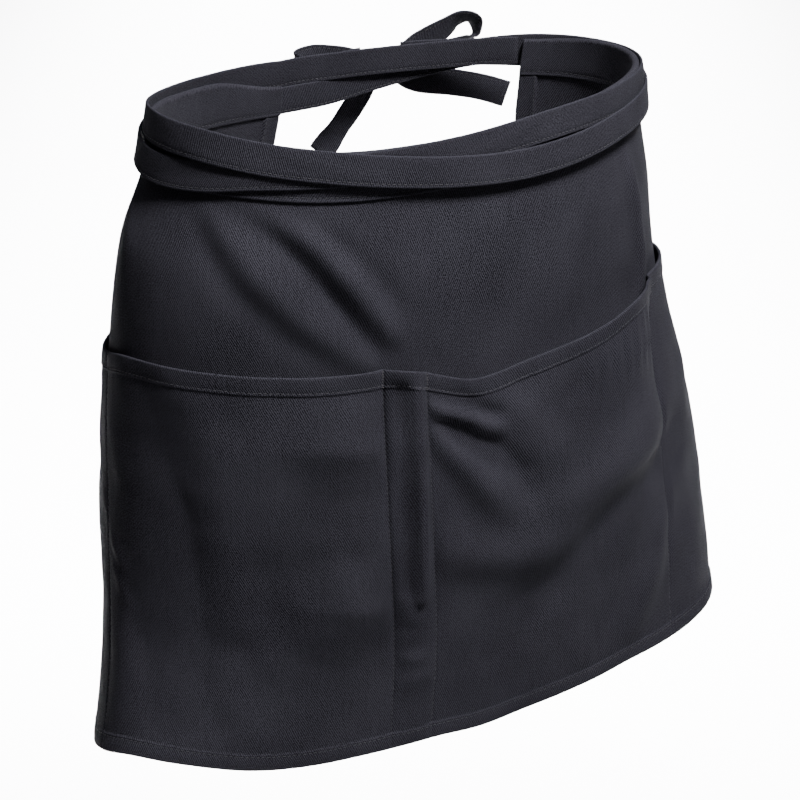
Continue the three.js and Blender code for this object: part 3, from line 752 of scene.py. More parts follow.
@dataclass(frozen=True)
class TwillFinish:
    """Dark cotton twill: diagonal ribs of short floats, fine fuzz, cloudy dye and pale worn edges."""

    name: str
    dark: tuple[float, float, float] = (0.0014, 0.0012, 0.0019)
    light: tuple[float, float, float] = (0.021, 0.0203, 0.0255)
    worn: tuple[float, float, float] = (0.017, 0.017, 0.022)
    rib_pitch: float = 1.05
    rib_angle: float = 28.0
    rib_sway: float = 1.4
    rib_share: float = 0.62
    yarn_pitch: float = 0.52
    yarn_contrast: float = 0.16
    yarn_share: float = 0.5
    sag_scale: float = 0.09
    fuzz_scale: float = 1.25
    fuzz_grain: float = 0.65
    fuzz_share: float = 2.4
    fuzz_relief: float = 0.5
    fuzz_roughness: float = 0.14
    streak_scale: float = 0.9
    streak_stretch: float = 0.06
    streak_share: float = 0.3
    cloud_scale: float = 0.022
    cloud_share: float = 0.4
    tone_ends: tuple[float, float] = (0.18, 0.86)
    wear_grain: tuple[float, float] = (1.3, -0.25)
    roughness: float = 0.72
    sheen: float = 0.008
    sheen_roughness: float = 0.4
    sheen_tint: tuple[float, float, float, float] = (0.72, 0.75, 0.86, 1.0)
    specular: float = 0.15
    ior: float = 1.09
    bump: float = 1.0
    relief: float = 0.00022

    def material(self) -> Material:
        """Builds the finish on the cloth's own flat places.

        Returns:
            The material.
        """
        made, nodes = blank_material(self.name)
        uv = nodes.add("ShaderNodeUVMap", uv_map="cloth").outputs["UV"]
        flat = nodes.add("ShaderNodeMapping", {"Vector": uv, "Scale": (1 / MM, 1 / MM, 1)}).outputs[0]
        turned = nodes.add(
            "ShaderNodeMapping", {"Vector": flat, "Rotation": (0, 0, math.radians(self.rib_angle))}
        ).outputs[0]
        sag = nodes.noise(flat, self.sag_scale, 2.0)
        rib_place = nodes.add("ShaderNodeSeparateXYZ", {0: turned}).outputs["X"]
        rib_place = nodes.math("ADD", rib_place, nodes.math("MULTIPLY", sag, self.rib_sway))
        rib = nodes.math("SINE", nodes.math("MULTIPLY", rib_place, math.tau / self.rib_pitch))
        rib = nodes.math("MULTIPLY_ADD", rib, 0.5, 0.5)
        parts = nodes.add("ShaderNodeSeparateXYZ", {0: flat})
        yarn = nodes.math("SINE", nodes.math("MULTIPLY", parts.outputs["X"], math.tau / self.yarn_pitch))
        weft = nodes.math("SINE", nodes.math("MULTIPLY", parts.outputs["Y"], math.tau / self.yarn_pitch))
        knit = nodes.math("MULTIPLY_ADD", nodes.math("MULTIPLY", yarn, weft), self.yarn_contrast, 0.5)
        yarns = nodes.math("MULTIPLY", knit, self.yarn_share)
        weave = nodes.math("MULTIPLY_ADD", rib, self.rib_share, yarns)
        fuzz = nodes.noise(flat, self.fuzz_scale, 3.0, Roughness=self.fuzz_grain)
        stretch = (1.0, self.streak_stretch, 1.0)
        streaks = nodes.add("ShaderNodeMapping", {"Vector": flat, "Scale": stretch}).outputs[0]
        streak = nodes.noise(streaks, self.streak_scale, 3.0)
        cloud = nodes.noise(flat, self.cloud_scale, 4.0)
        tone = weave
        shares = ((fuzz, self.fuzz_share), (streak, self.streak_share), (cloud, self.cloud_share))
        for value, share in shares:
            tone = nodes.math("ADD", tone, nodes.math("MULTIPLY_ADD", value, share, -share / 2))
        dye = nodes.ramp(tone, (self.tone_ends[0], self.dark), (self.tone_ends[1], self.light))
        wear = nodes.add("ShaderNodeAttribute", attribute_name="wear").outputs["Fac"]
        rubbed = nodes.math("MULTIPLY", wear, nodes.math("MULTIPLY_ADD", fuzz, *self.wear_grain))
        mix = nodes.add("ShaderNodeMix", {0: rubbed}, data_type="RGBA")
        nodes.tree.links.new(dye, mix.inputs[6])
        mix.inputs[7].default_value = (*self.worn, 1)
        height = nodes.math("MULTIPLY_ADD", fuzz, self.fuzz_relief, weave)
        bump = nodes.add(
            "ShaderNodeBump", {"Height": height, "Strength": self.bump, "Distance": self.relief}
        )
        smoothest = self.roughness - self.fuzz_roughness / 2
        rough = nodes.math("MULTIPLY_ADD", fuzz, self.fuzz_roughness, smoothest)
        nodes.shade({
            "Base Color": mix.outputs[2],
            "Roughness": rough,
            "Normal": bump.outputs[0],
            "Specular IOR Level": self.specular,
            "IOR": self.ior,
            "Sheen Weight": self.sheen,
            "Sheen Roughness": self.sheen_roughness,
            "Sheen Tint": self.sheen_tint,
        })
        return made


@dataclass(frozen=True)
class ThreadFinish:
    """Spun sewing thread, a shade lighter than the cloth, with the twist of its plies."""

    name: str
    colour: tuple[float, float, float]
    roughness: float = 0.62
    specular: float = 0.12
    sheen: float = 0.01
    twist_scale: float = 1400.0
    twist_ends: tuple[float, float] = (0.3, 0.7)
    shade: float = 0.5
    bump: float = 0.5
    relief: float = 0.0001

    def material(self) -> Material:
        """Builds the thread's finish.

        Returns:
            The material.
        """
        made, nodes = blank_material(self.name)
        place = nodes.add("ShaderNodeTexCoord").outputs["Object"]
        twist = nodes.noise(place, self.twist_scale, 2.0)
        shaded = [channel * self.shade for channel in self.colour]
        colour = nodes.ramp(twist, (self.twist_ends[0], shaded), (self.twist_ends[1], self.colour))
        bump = nodes.add(
            "ShaderNodeBump", {"Height": twist, "Strength": self.bump, "Distance": self.relief}
        )
        nodes.shade({
            "Base Color": colour,
            "Normal": bump.outputs[0],
            "Roughness": self.roughness,
            "Specular IOR Level": self.specular,
            "Sheen Weight": self.sheen,
        })
        return made


@dataclass(frozen=True)
class FloorFinish:
    """A plain pale floor with a faint unevenness."""

    name: str = "pale_floor"
    colour: tuple[float, float, float] = (0.9, 0.9, 0.91)
    roughness: float = 0.8
    shade: float = 0.985
    unevenness: float = 1.5

    def material(self) -> Material:
        """Builds the floor's finish.

        Returns:
            The material.
        """
        made, nodes = blank_material(self.name)
        place = nodes.add("ShaderNodeTexCoord").outputs["Object"]
        shaded = [channel * self.shade for channel in self.colour]
        cloud = nodes.noise(place, self.unevenness, 3.0)
        colour = nodes.ramp(cloud, (0.0, shaded), (1.0, self.colour))
        nodes.shade({"Base Color": colour, "Roughness": self.roughness})
        return made


class StitchKind(Enum):
    """How thread lies along a line: pitch, length, width and turn from the line in degrees."""

    LOCKSTITCH = (2.9, 2.1, 0.48, 5.0)
    BAR_TACK = (1.3, 1.7, 0.42, 74.0)


@dataclass
class StitchLine:
    """One line of thread: points on the cloth, the cloth's outward directions and the kind of stitch."""

    points: Array
    outward: Array
    kind: StitchKind = StitchKind.LOCKSTITCH


class StitchTree:
    """A node tree that lays short pieces of thread along marked edges."""

    seed = 7
    sway = 0.07
    flatness = 0.85

    def __init__(self) -> None:
        """Builds the tree with its named inputs."""
        tree = bpy.data.node_groups.new("lay_thread", "GeometryNodeTree")
        tree.is_modifier = True
        tree.interface.new_socket("Geometry", in_out="INPUT", socket_type="NodeSocketGeometry")
        for name in ("Pitch", "Length", "Width", "Turn"):
            tree.interface.new_socket(name, in_out="INPUT", socket_type="NodeSocketFloat")
        tree.interface.new_socket("Seed", in_out="INPUT", socket_type="NodeSocketInt")
        tree.interface.new_socket("Thread", in_out="INPUT", socket_type="NodeSocketMaterial")
        tree.interface.new_socket("Geometry", in_out="OUTPUT", socket_type="NodeSocketGeometry")
        self.tree = tree
        self.sockets = {
            item.name: item.identifier for item in tree.interface.items_tree if item.in_out == "INPUT"
        }
        self._lay()

    def _lay(self) -> None:
        """Adds the nodes: lines to curves, thread at every pitch, turned to the cloth."""
        nodes = Nodes(self.tree)
        given = nodes.add("NodeGroupInput").outputs
        curve = nodes.add("GeometryNodeMeshToCurve", {"Mesh": given["Geometry"]}).outputs[0]
        spaced = nodes.add(
            "GeometryNodeResampleCurve", {"Curve": curve, "Length": given["Pitch"]}, mode="LENGTH"
        )
        outward = nodes.add("GeometryNodeInputNamedAttribute", {"Name": "outward"}, data_type="FLOAT_VECTOR")
        tangent = nodes.add("GeometryNodeInputTangent").outputs[0]
        upright = nodes.add(
            "FunctionNodeAlignRotationToVector", {"Vector": outward.outputs["Attribute"]}, axis="Z"
        ).outputs[0]
        facing = nodes.add(
            "FunctionNodeAlignRotationToVector", {"Rotation": upright, "Vector": tangent},
            axis="X", pivot_axis="Z",
        ).outputs[0]
        sway = nodes.add(
            "FunctionNodeRandomValue", {2: -self.sway, 3: self.sway, "Seed": given["Seed"]}, data_type="FLOAT"
        )
        turn = nodes.math("ADD", given["Turn"], sway.outputs[1])
        euler = nodes.add("ShaderNodeCombineXYZ", {"Z": turn}).outputs[0]
        spin = nodes.add("FunctionNodeEulerToRotation", {0: euler}).outputs[0]
        rotation = nodes.add(
            "FunctionNodeRotateRotation", {"Rotation": facing, "Rotate By": spin}, rotation_space="LOCAL"
        ).outputs[0]
        thread = nodes.add("GeometryNodeMeshUVSphere", {"Segments": 6, "Rings": 5, "Radius": 0.5}).outputs[0]
        smooth = nodes.add("GeometryNodeSetShadeSmooth", {"Geometry": thread}).outputs[0]
        rise = nodes.math("MULTIPLY", given["Width"], self.flatness)
        sizes = {"X": given["Length"], "Y": given["Width"], "Z": rise}
        size = nodes.add("ShaderNodeCombineXYZ", sizes).outputs[0]
        placed = nodes.add("GeometryNodeInstanceOnPoints", {
            "Points": spaced.outputs[0], "Instance": smooth, "Rotation": rotation, "Scale": size,
        }).outputs[0]
        real = nodes.add("GeometryNodeRealizeInstances", {"Geometry": placed}).outputs[0]
        dressed = nodes.add("GeometryNodeSetMaterial", {"Geometry": real, "Material": given["Thread"]})
        nodes.add("NodeGroupOutput", {"Geometry": dressed.outputs[0]})

    def _run(
        self, name: str, lines: Sequence[StitchLine], kind: StitchKind, thread: Material
    ) -> bpy.types.Mesh:
        """Lays one kind of stitch and returns its plain mesh.

        Args:
            name: The mesh's name.
            lines: The lines to sew.
            kind: The kind of stitch.
            thread: The thread's material.

        Returns:
            The mesh.
        """
        points = np.concatenate([line.points for line in lines])
        outward = np.concatenate([line.outward for line in lines])
        edges, first = [], 0
        for line in lines:
            edges += [(first + k, first + k + 1) for k in range(len(line.points) - 1)]
            first += len(line.points)
        guide = bpy.data.meshes.new(name + "_guide")
        guide.from_pydata((points * MM).tolist(), edges, [])
        guide.attributes.new("outward", "FLOAT_VECTOR", "POINT")
        guide.attributes["outward"].data.foreach_set("vector", outward.astype(np.float32).ravel())
        holder = show(name + "_guide", guide)
        pitch, length, width, turn = kind.value
        modifier = holder.modifiers.new("thread", "NODES")
        modifier.node_group = self.tree
        values = {"Pitch": pitch * MM, "Length": length * MM, "Width": width * MM,
                  "Turn": math.radians(turn), "Seed": self.seed, "Thread": thread}
        for key, value in values.items():
            modifier[self.sockets[key]] = value
        graph = bpy.context.evaluated_depsgraph_get()
        mesh = bpy.data.meshes.new_from_object(holder.evaluated_get(graph))
        bpy.data.objects.remove(holder)
        bpy.data.meshes.remove(guide)
        return mesh

    def sew(
        self, name: str, lines: Sequence[StitchLine], thread: Material,
        bar_thread: Material | None = None,
    ) -> Object:
        """Sews some lines as one piece.

        Args:
            name: The piece's name.
            lines: The lines to sew.
            thread: The thread's material.
            bar_thread: The material of the bars, where the piece has them.

        Returns:
            The piece, in place at the origin.
        """
        parts = []
        for kind in StitchKind:
            chosen = [line for line in lines if line.kind is kind]
            if chosen:
                used = bar_thread if kind is StitchKind.BAR_TACK else thread
                mesh = self._run(f"{name}_{kind.name.lower()}", chosen, kind, used)
                parts.append(show(mesh.name, mesh))
        if len(parts) > 1:
            with bpy.context.temp_override(
                active_object=parts[0], object=parts[0], selected_objects=parts,
                selected_editable_objects=parts,
            ):
                bpy.ops.object.join()
        parts[0].name = name
        parts[0].data.name = name
        return parts[0]


@dataclass
class Workshop:
    """What every sub-assembly shares: the form, the sizes of cloth and straps, and the finishes."""

    form: WornForm = field(default_factory=WornForm)
    cloth_thickness: float = 1.2
    hem_thickness: float = 2.0
    seam_gap: float = 0.3
    bottom_hem: float = 8.5
    side_hem: float = 9.5
    pocket_hem: float = 9.5
    hem_step: float = 0.8
    thread_inset: float = 0.8
    thread_start: float = 2.0
    thread_end: float = 1.0
    band_lap: float = 2.5
    fold_ease: float = 25.0
    cloth_step: float = 3.0
    strap_step: float = 2.4
    strap_width: float = 16.5
    strap_thickness: float = 1.6
    strap_gap: float = 0.5
    pucker: Pucker = Pucker()

    def __post_init__(self) -> None:
        """Makes the finishes and the tree that lays thread, and finds the lines of the hems and the band."""
        self.twill = TwillFinish("dark_twill").material()
        self.band_twill = TwillFinish("dark_band_twill", rib_angle=31.0).material()
        self.strap_twill = TwillFinish("dark_strap_twill", rib_angle=24.0).material()
        self.thread = ThreadFinish("dark_thread", (0.022, 0.021, 0.025)).material()
        self.pale_thread = ThreadFinish("pale_thread", (0.05, 0.045, 0.05)).material()
        self.stitches = StitchTree()
        self.seat = self.cloth_thickness / 2 + self.seam_gap
        self.band_far = self.seat + self.cloth_thickness
        self.hem_line = self.form.skirt_length - self.bottom_hem
        self.mouth_line = self.form.panel_top + self.pocket_hem
        self.side_line = self.form.half_apron - self.side_hem
        self.side_thread = self.side_line + self.thread_inset

    def thread_places(self, step: float) -> Array:
        """Places across the apron where thread runs from side to side."""
        half = self.form.half_apron
        return np.arange(-half + self.thread_start, half - self.thread_end, step)

    def place(self, piece: Object, material: Material | None, slot: str) -> None:
        """Dresses a piece and lets it ride with the apron.

        Args:
            piece: The piece.
            material: Its material, or None where it has one.
            slot: Not used.
        """
        if material is not None:
            piece.data.materials.clear()
            piece.data.materials.append(material)
        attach(piece, BODY)
        log.info("%s: %d faces", piece.name, len(piece.data.polygons))

    def finish(
        self, piece: Object, thread: Object, finish: tuple[Material, str],
        node: str, flat: tuple[float, float], held: str, rests_on: str,
    ) -> Object:
        """Dresses a sheet and its thread, lets both ride with the apron, and hides the node that the sheet
        replaces.

        Args:
            piece: The sheet.
            thread: The thread sewn on it.
            finish: The sheet's material, and a material slot name for both, which nothing uses.
            node: The node that the sheet replaces.
            flat: Not used.
            held: Not used.
            rests_on: Not used.

        Returns:
            The sheet.
        """
        material, slot = finish
        self.place(piece, material, slot)
        self.place(thread, None, slot)
        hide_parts(node)
        return piece


@dataclass
class Panel:
    """What the skirt and the pocket panel share: their grid, folds and the unevenness of their cloth."""

    shop: Workshop
    crumple: Crumple = Crumple(height=0.32, shortest=30.0, longest=95.0, count=9, seed=11)

    def grid(self, top: float, lines: Sequence[float]) -> tuple[Array, Array]:
        """The places across and down where the panel's grid has its points.

        Args:
            top: The drop of the panel's upper edge.
            lines: Drops that a crease or a seam runs along.

        Returns:
            Places across, and drops, columns by rows.
        """
        shop, form = self.shop, self.shop.form
        hem_lines = (shop.side_line, shop.side_line - shop.hem_step)
        seams = [*form.inner_seams, *hem_lines, *(-line for line in hem_lines)]
        columns = fine_places(-form.half_apron, form.half_apron, shop.cloth_step, seams)
        rows = fine_places(top, form.skirt_length, shop.cloth_step, lines)
        return np.meshgrid(columns, rows, indexing="ij")

    def skirt_lift(self, across: Array, drop: Array) -> Array:
        """How far the skirt's folds lift it off the form."""
        form = self.shop.form
        ease = smoothstep(drop, form.band_height, form.band_height + self.shop.fold_ease)
        return (form.folds_at(SKIRT_FOLDS, across, drop) + self.crumple.at(across, drop)) * ease

    def edge_distance(self, across: Array, drop: Array, top: float) -> Array:
        """The distance to the panel's nearest edge."""
        form = self.shop.form
        sides = form.half_apron - np.abs(across)
        return np.minimum(sides, np.minimum(drop - top, form.skirt_length - drop))

    def slab(
        self, name: str, grid: tuple[Array, Array], middle: Array, half: Array, wear: Array
    ) -> Object:
        """Makes the panel's closed sheet.

        Args:
            name: The piece's name.
            grid: Places across, and drops.
            middle: The distances of the cloth's middle from the form.
            half: Half the cloth's thickness.
            wear: The cloth's wear, from 0 to 1.

        Returns:
            The piece.
        """
        form = self.shop.form
        front, back = (form.laid(*grid, middle + side * half)[0] for side in (1, -1))
        return add_slab(name, front, back, np.stack(grid, axis=-1), wear)


@dataclass
class SkirtPanel(Panel):
    """The one-piece skirt, turned in at its side and bottom hems."""

    name: str = "skirt_cloth"
    edge_wear: float = 0.55
    wear_reach: float = 1.0
    thread_step: float = 2.0
    sink_fade: float = 2.0
    hem_fade: float = 1.0

    def outer(self, across: Array, drop: Array) -> Array:
        """The outer face's distance from the form, without the round of its edges."""
        shop, form = self.shop, self.shop.form
        sunk = shop.pucker.at(shop.side_thread - np.abs(across), drop)
        fade = self.sink_fade
        below_band = smoothstep(drop, form.band_height - fade, form.band_height + fade)
        return self.skirt_lift(across, drop) + shop.cloth_thickness / 2 + sunk * below_band

    def thickness(self, across: Array, drop: Array) -> Array:
        """The cloth's thickness, double in its hems."""
        shop, form = self.shop, self.shop.form
        side = smoothstep(np.abs(across), shop.side_line - shop.hem_step, shop.side_line)
        fade = self.hem_fade
        side = side * smoothstep(drop, form.band_height - fade, form.band_height + fade)
        hem = np.maximum(side, smoothstep(drop, shop.hem_line - shop.hem_step, shop.hem_line))
        return shop.cloth_thickness + (shop.hem_thickness - shop.cloth_thickness) * hem

    def build(self) -> Object:
        """Builds the skirt.

        Returns:
            The cloth; its thread is made as a piece of its own.
        """
        shop, form = self.shop, self.shop.form
        across, drop = self.grid(shop.band_lap, (form.band_height, shop.hem_line))
        thickness = self.thickness(across, drop)
        rounded = edge_round(self.edge_distance(across, drop, shop.band_lap), shop.hem_thickness / 2)
        # The band covers the upper edge, so its wear starts far above it.
        distance = self.edge_distance(across, drop, -form.skirt_length)
        wear = self.edge_wear * np.exp(-((distance / self.wear_reach) ** 2))
        middle = self.outer(across, drop) - thickness / 2
        piece = self.slab(self.name, (across, drop), middle, thickness / 2 * rounded, wear)
        thread = shop.stitches.sew("skirt_stitches", self.seams(), shop.thread)
        return shop.finish(piece, thread, (shop.twill, "twill"), "skirt_panel",
                           (form.apron_width, form.skirt_length), "hung", "waistband_cloth")

    def seams(self) -> list[StitchLine]:
        """The skirt's own lines of thread, on its outer face above the pockets and inside its hems.

        Returns:
            The lines.
        """
        shop, form, step = self.shop, self.shop.form, self.thread_step
        lines = []
        for place in (-shop.side_thread, shop.side_thread):
            for end, outside in ((form.panel_top, True), (form.skirt_length - shop.thread_end, False)):
                drop = np.arange(form.band_height + shop.thread_end, end, step)
                lines.append(self.line(np.full_like(drop, place), drop, outside))
        across = shop.thread_places(step)
        lines.append(self.line(across, np.full_like(across, shop.hem_line + shop.thread_inset), False))
        return lines

    def line(self, across: Array, drop: Array, outside: bool) -> StitchLine:
        """One line of thread on the skirt.

        Args:
            across: Places across.
            drop: Places down.
            outside: True on the outer face, False on the inner one.

        Returns:
            The line.
        """
        offset = self.outer(across, drop)
        if not outside:
            offset = offset - self.thickness(across, drop)
        points, away = self.shop.form.laid(across, drop, offset)
        return StitchLine(points, away if outside else -away)


@dataclass
class PocketPanel(Panel):
    """One panel sewn on the skirt by its sides, its bottom and two dividers, making the pockets."""

    name: str = "pocket_cloth"
    mouth_crumple: Crumple = Crumple(height=0.5, shortest=22.0, longest=60.0, count=7, seed=29)
    seam_reach: float = 5.0
    hem_reach: tuple[float, float] = (-4.0, 14.0)
    thinnest: float = 0.5
    edge_wear: float = 0.5
    seam_wear: float = 0.25
    wear_reach: float = 0.8
    seam_wear_place: float = 1.6
    thread_inset: float = 0.9
    thread_rise: float = 0.06
    thread_step: float = 1.5
    bar_step: float = 0.6

    def stand_off(self, across: Array, drop: Array) -> Array:
        """How far the panel stands off the skirt at a place."""
        form, shop = self.shop.form, self.shop
        seams = np.array(form.seams)
        index = np.searchsorted(np.array(form.inner_seams), across, side="right")
        table = np.array([astuple(row) for row in COMPARTMENTS])
        stand_off, peak, fade = np.moveaxis(table[index], -1, 0)
        share = np.clip((across - seams[index]) / (seams[index + 1] - seams[index]), 0, 1)
        swell = np.sin(np.pi * share ** (math.log(0.5) / np.log(peak)))
        down = np.clip((drop - form.panel_top) / form.pocket_height, 0, 1)
        away = stand_off * shop.cloth_thickness * swell * (1 - down) ** fade
        folds = form.folds_at(POCKET_FOLDS, across, drop) + self.mouth_crumple.at(across, drop)
        from_seam = np.min(np.abs(np.asarray(across)[..., None] - seams), axis=-1)
        folds = folds * smoothstep(from_seam, 0, self.seam_reach)
        return away + folds * smoothstep(shop.hem_line - drop, *self.hem_reach)

    def inner(self, across: Array, drop: Array) -> Array:
        """The inner face's distance from the form, without the round of its edges."""
        return self.skirt_lift(across, drop) + self.shop.seat + np.maximum(self.stand_off(across, drop), 0)

    def thickness(self, across: Array, drop: Array) -> Array:
        """The cloth's thickness: double in its hems, and drawn in along its seams."""
        shop = self.shop
        mouth, line = shop.mouth_line, shop.hem_line
        hem = 1 - smoothstep(drop, mouth, mouth + shop.hem_step)
        hem = np.maximum(hem, smoothstep(drop, line - shop.hem_step, line))
        result = shop.cloth_thickness + (shop.hem_thickness - shop.cloth_thickness) * hem
        for seam in shop.form.inner_seams:
            result = result + shop.pucker.at(across - seam, drop)
        result = result + shop.pucker.at(shop.side_thread - np.abs(across), drop)
        result = result + shop.pucker.at(drop - mouth + self.thread_inset, across)
        return np.maximum(result + shop.pucker.at(drop - line - self.thread_inset, across), self.thinnest)

    def build(self) -> Object:
        """Builds the pocket panel.

        Returns:
            The cloth.
        """
        shop, form = self.shop, self.shop.form
        across, drop = self.grid(form.panel_top, (shop.mouth_line, shop.hem_line))
        thickness = self.thickness(across, drop)
        distance = self.edge_distance(across, drop, form.panel_top)
        rounded = edge_round(distance, shop.hem_thickness / 2)
        wear = self.edge_wear * np.exp(-((distance / self.wear_reach) ** 2))
        for seam in form.inner_seams:
            away = (np.abs(across - seam) - self.seam_wear_place) / self.wear_reach
            wear = wear + self.seam_wear * np.exp(-(away**2))
        middle = self.inner(across, drop) + thickness / 2
        piece = self.slab(self.name, (across, drop), middle, thickness / 2 * rounded, np.clip(wear, 0, 1))
        thread = shop.stitches.sew("pocket_stitches", self.seams(), shop.thread, shop.pale_thread)
        return shop.finish(piece, thread, (shop.twill, "twill"), "pocket_panel",
                           (form.apron_width, form.pocket_height), "hung", "skirt_cloth")

    def seams(self) -> list[StitchLine]:
        """The panel's lines of thread: hems, dividers, sides and the bars that hold its mouth.

        Returns:
            The lines.
        """
        shop, form = self.shop, self.shop.form
        lines = []
        across = shop.thread_places(self.thread_step)
        for drop in (shop.mouth_line - self.thread_inset, shop.hem_line + self.thread_inset):
            lines.append(self.line(across, np.full_like(across, drop)))
        drop = np.arange(form.panel_top + shop.thread_end, shop.hem_line, self.thread_step)
        for place in (*form.inner_seams, -shop.side_thread, shop.side_thread):
            lines.append(self.line(np.full_like(drop, place), drop))
        drop = np.arange(form.panel_top + 2 * self.bar_step, shop.mouth_line + self.bar_step, self.bar_step)
        for place in form.inner_seams:
            lines.append(self.line(np.full_like(drop, place), drop, StitchKind.BAR_TACK))
        return lines

    def line(self, across: Array, drop: Array, kind: StitchKind = StitchKind.LOCKSTITCH) -> StitchLine:
        """One line of thread on the panel's outer face.

        Args:
            across: Places across.
            drop: Places down.
            kind: The kind of stitch.

        Returns:
            The line.
        """
        offset = self.inner(across, drop) + self.thickness(across, drop)
        return StitchLine(*self.shop.form.laid(across, drop, offset + self.thread_rise), kind)


@dataclass
class Waistband:
    """The band folded over the skirt's top edge, stitched near its lower edge through both leaves."""

    shop: Workshop
    name: str = "waistband_cloth"
    stitch_height: float = 2.6
    turn_steps: int = 12
    leaf_step: float = 1.7
    leaf_start: float = 0.3
    crumple: Crumple = Crumple(height=1.0, shortest=25.0, longest=70.0, count=6, seed=5)
    leaf_cosine: float = 0.99
    swell: float = 0.25
    swell_ends: tuple[float, float] = (1.0, 8.0)
    sink: float = 0.6
    edge_wear: float = 0.5
    fold_wear: float = 0.35
    wear_reach: float = 1.0
    thread_step: float = 1.5
    thread_rise: float = 0.1

    def build(self) -> Object:
        """Builds the waistband.

        Returns:
            The cloth.
        """
        shop, form = self.shop, self.shop.form
        stitch_line = form.band_height - self.stitch_height
        across = fine_places(-form.half_apron, form.half_apron, shop.cloth_step)
        leaf = fine_places(shop.band_far, form.band_height, self.leaf_step, (stitch_line,))[::-1]
        leaf = leaf[leaf > shop.band_far + self.leaf_start]
        turn = np.linspace(0, np.pi, self.turn_steps + 1)
        path = np.concatenate([leaf, np.full(turn.size, shop.band_far), leaf[::-1]])
        cosine = np.concatenate([np.ones(leaf.size), np.cos(turn), -np.ones(leaf.size)])
        sine = np.concatenate([np.zeros(leaf.size), np.sin(turn), np.zeros(leaf.size)])
        run = np.concatenate([[0.0], np.cumsum(np.hypot(np.diff(path), np.diff(cosine) * shop.band_far))])
        grid, down = np.meshgrid(across, path, indexing="ij")
        edge = np.minimum(form.half_apron - np.abs(grid), np.abs(form.band_height - down))
        half = shop.cloth_thickness / 2 * edge_round(edge, shop.cloth_thickness / 2)
        sunk = shop.pucker.at(down - stitch_line, grid) * (np.abs(cosine) > self.leaf_cosine)
        swell = self.swell * self.crumple.at(grid, down)
        swell = swell * smoothstep(form.band_height - down, *self.swell_ends)
        middle = (shop.seat + shop.band_far) / 2
        faces = []
        for reach in (middle + half + self.sink * sunk + np.maximum(swell, 0), middle - half):
            place = form.tapered(grid, down - sine * reach)
            away = form.outward(form.cloth_point, grid, place, form.probe)
            faces.append(form.cloth_point(grid, place) + away * (cosine * reach)[..., None])
        wear = self.edge_wear * np.exp(-((edge / self.wear_reach) ** 2)) + self.fold_wear * sine**2
        flat = np.stack(np.broadcast_arrays(grid, run[None, :]), axis=-1)
        piece = add_slab(self.name, *faces, flat, np.clip(wear, 0, 1))
        thread = shop.stitches.sew("band_stitches", self.seams(), shop.thread)
        return shop.finish(piece, thread, (shop.band_twill, "band"), "waistband",
                           (form.apron_width, 2 * form.band_height), "folded", "skirt_cloth")

    def seams(self) -> list[StitchLine]:
        """The line of thread through the band, as it shows outside and inside.

        Returns:
            The lines.
        """
        shop, form = self.shop, self.shop.form
        across = shop.thread_places(self.thread_step)
        drop = np.full_like(across, form.band_height - self.stitch_height)
        away = form.outward(form.cloth_point, across, drop, form.probe)
        bare = form.cloth_point(across, drop)
        reach = shop.band_far - self.sink * shop.pucker.depth + self.thread_rise
        return [StitchLine(bare + away * reach, away), StitchLine(bare - away * reach, -away)]


@dataclass
class Strap:
    """What every stretch of strap shares: a folded strip, stitched near its open edge."""

    shop: Workshop
    stitch_inset: float = 2.0
    sink: float = 0.5
    width_step: float = 1.5
    edge_wear: float = 0.7
    wear_reach: float = 0.9

    @property
    def width_places(self) -> Array:
        """Places across the strap, from its upper edge to its lower one."""
        half = self.shop.strap_width / 2
        return fine_places(-half, half, self.width_step, (half - self.stitch_inset,))

    def half_thickness(self, across: Array, along: Array) -> Array:
        """Half the strap's thickness: round at both edges and drawn in at its thread.

        Args:
            across: Places across the strap.
            along: Places along it.

        Returns:
            Half thicknesses in millimetres.
        """
        half_width = self.shop.strap_width / 2
        rounded = edge_round(half_width - np.abs(across), self.shop.strap_thickness / 2)
        sunk = self.shop.pucker.at(across - half_width + self.stitch_inset, along) * self.sink
        return (self.shop.strap_thickness / 2 + sunk) * rounded

    def wear(self, across: Array) -> Array:
        """How worn the strap is at a place across, most along its edges."""
        from_edge = (self.shop.strap_width / 2 - np.abs(across)) / self.wear_reach
        return self.edge_wear * np.exp(-(from_edge**2))

    def finish_strap(
        self, piece: Object, lines: Sequence[StitchLine], node: str, length: float, held: str,
        rests_on: str,
    ) -> Object:
        """Sews a strap and finishes it.

        Args:
            piece: The strap's cloth.
            lines: Its lines of thread.
            node: The node that it replaces.
            length: Its length in millimetres.
            held: How the cloth is held.
            rests_on: The piece that it rests on.

        Returns:
            The cloth.
        """
        shop = self.shop
        thread = shop.stitches.sew(piece.name + "_stitches", lines, shop.thread)
        return shop.finish(piece, thread, (shop.strap_twill, "strap"), node,
                           (float(length), shop.strap_width), held, rests_on)


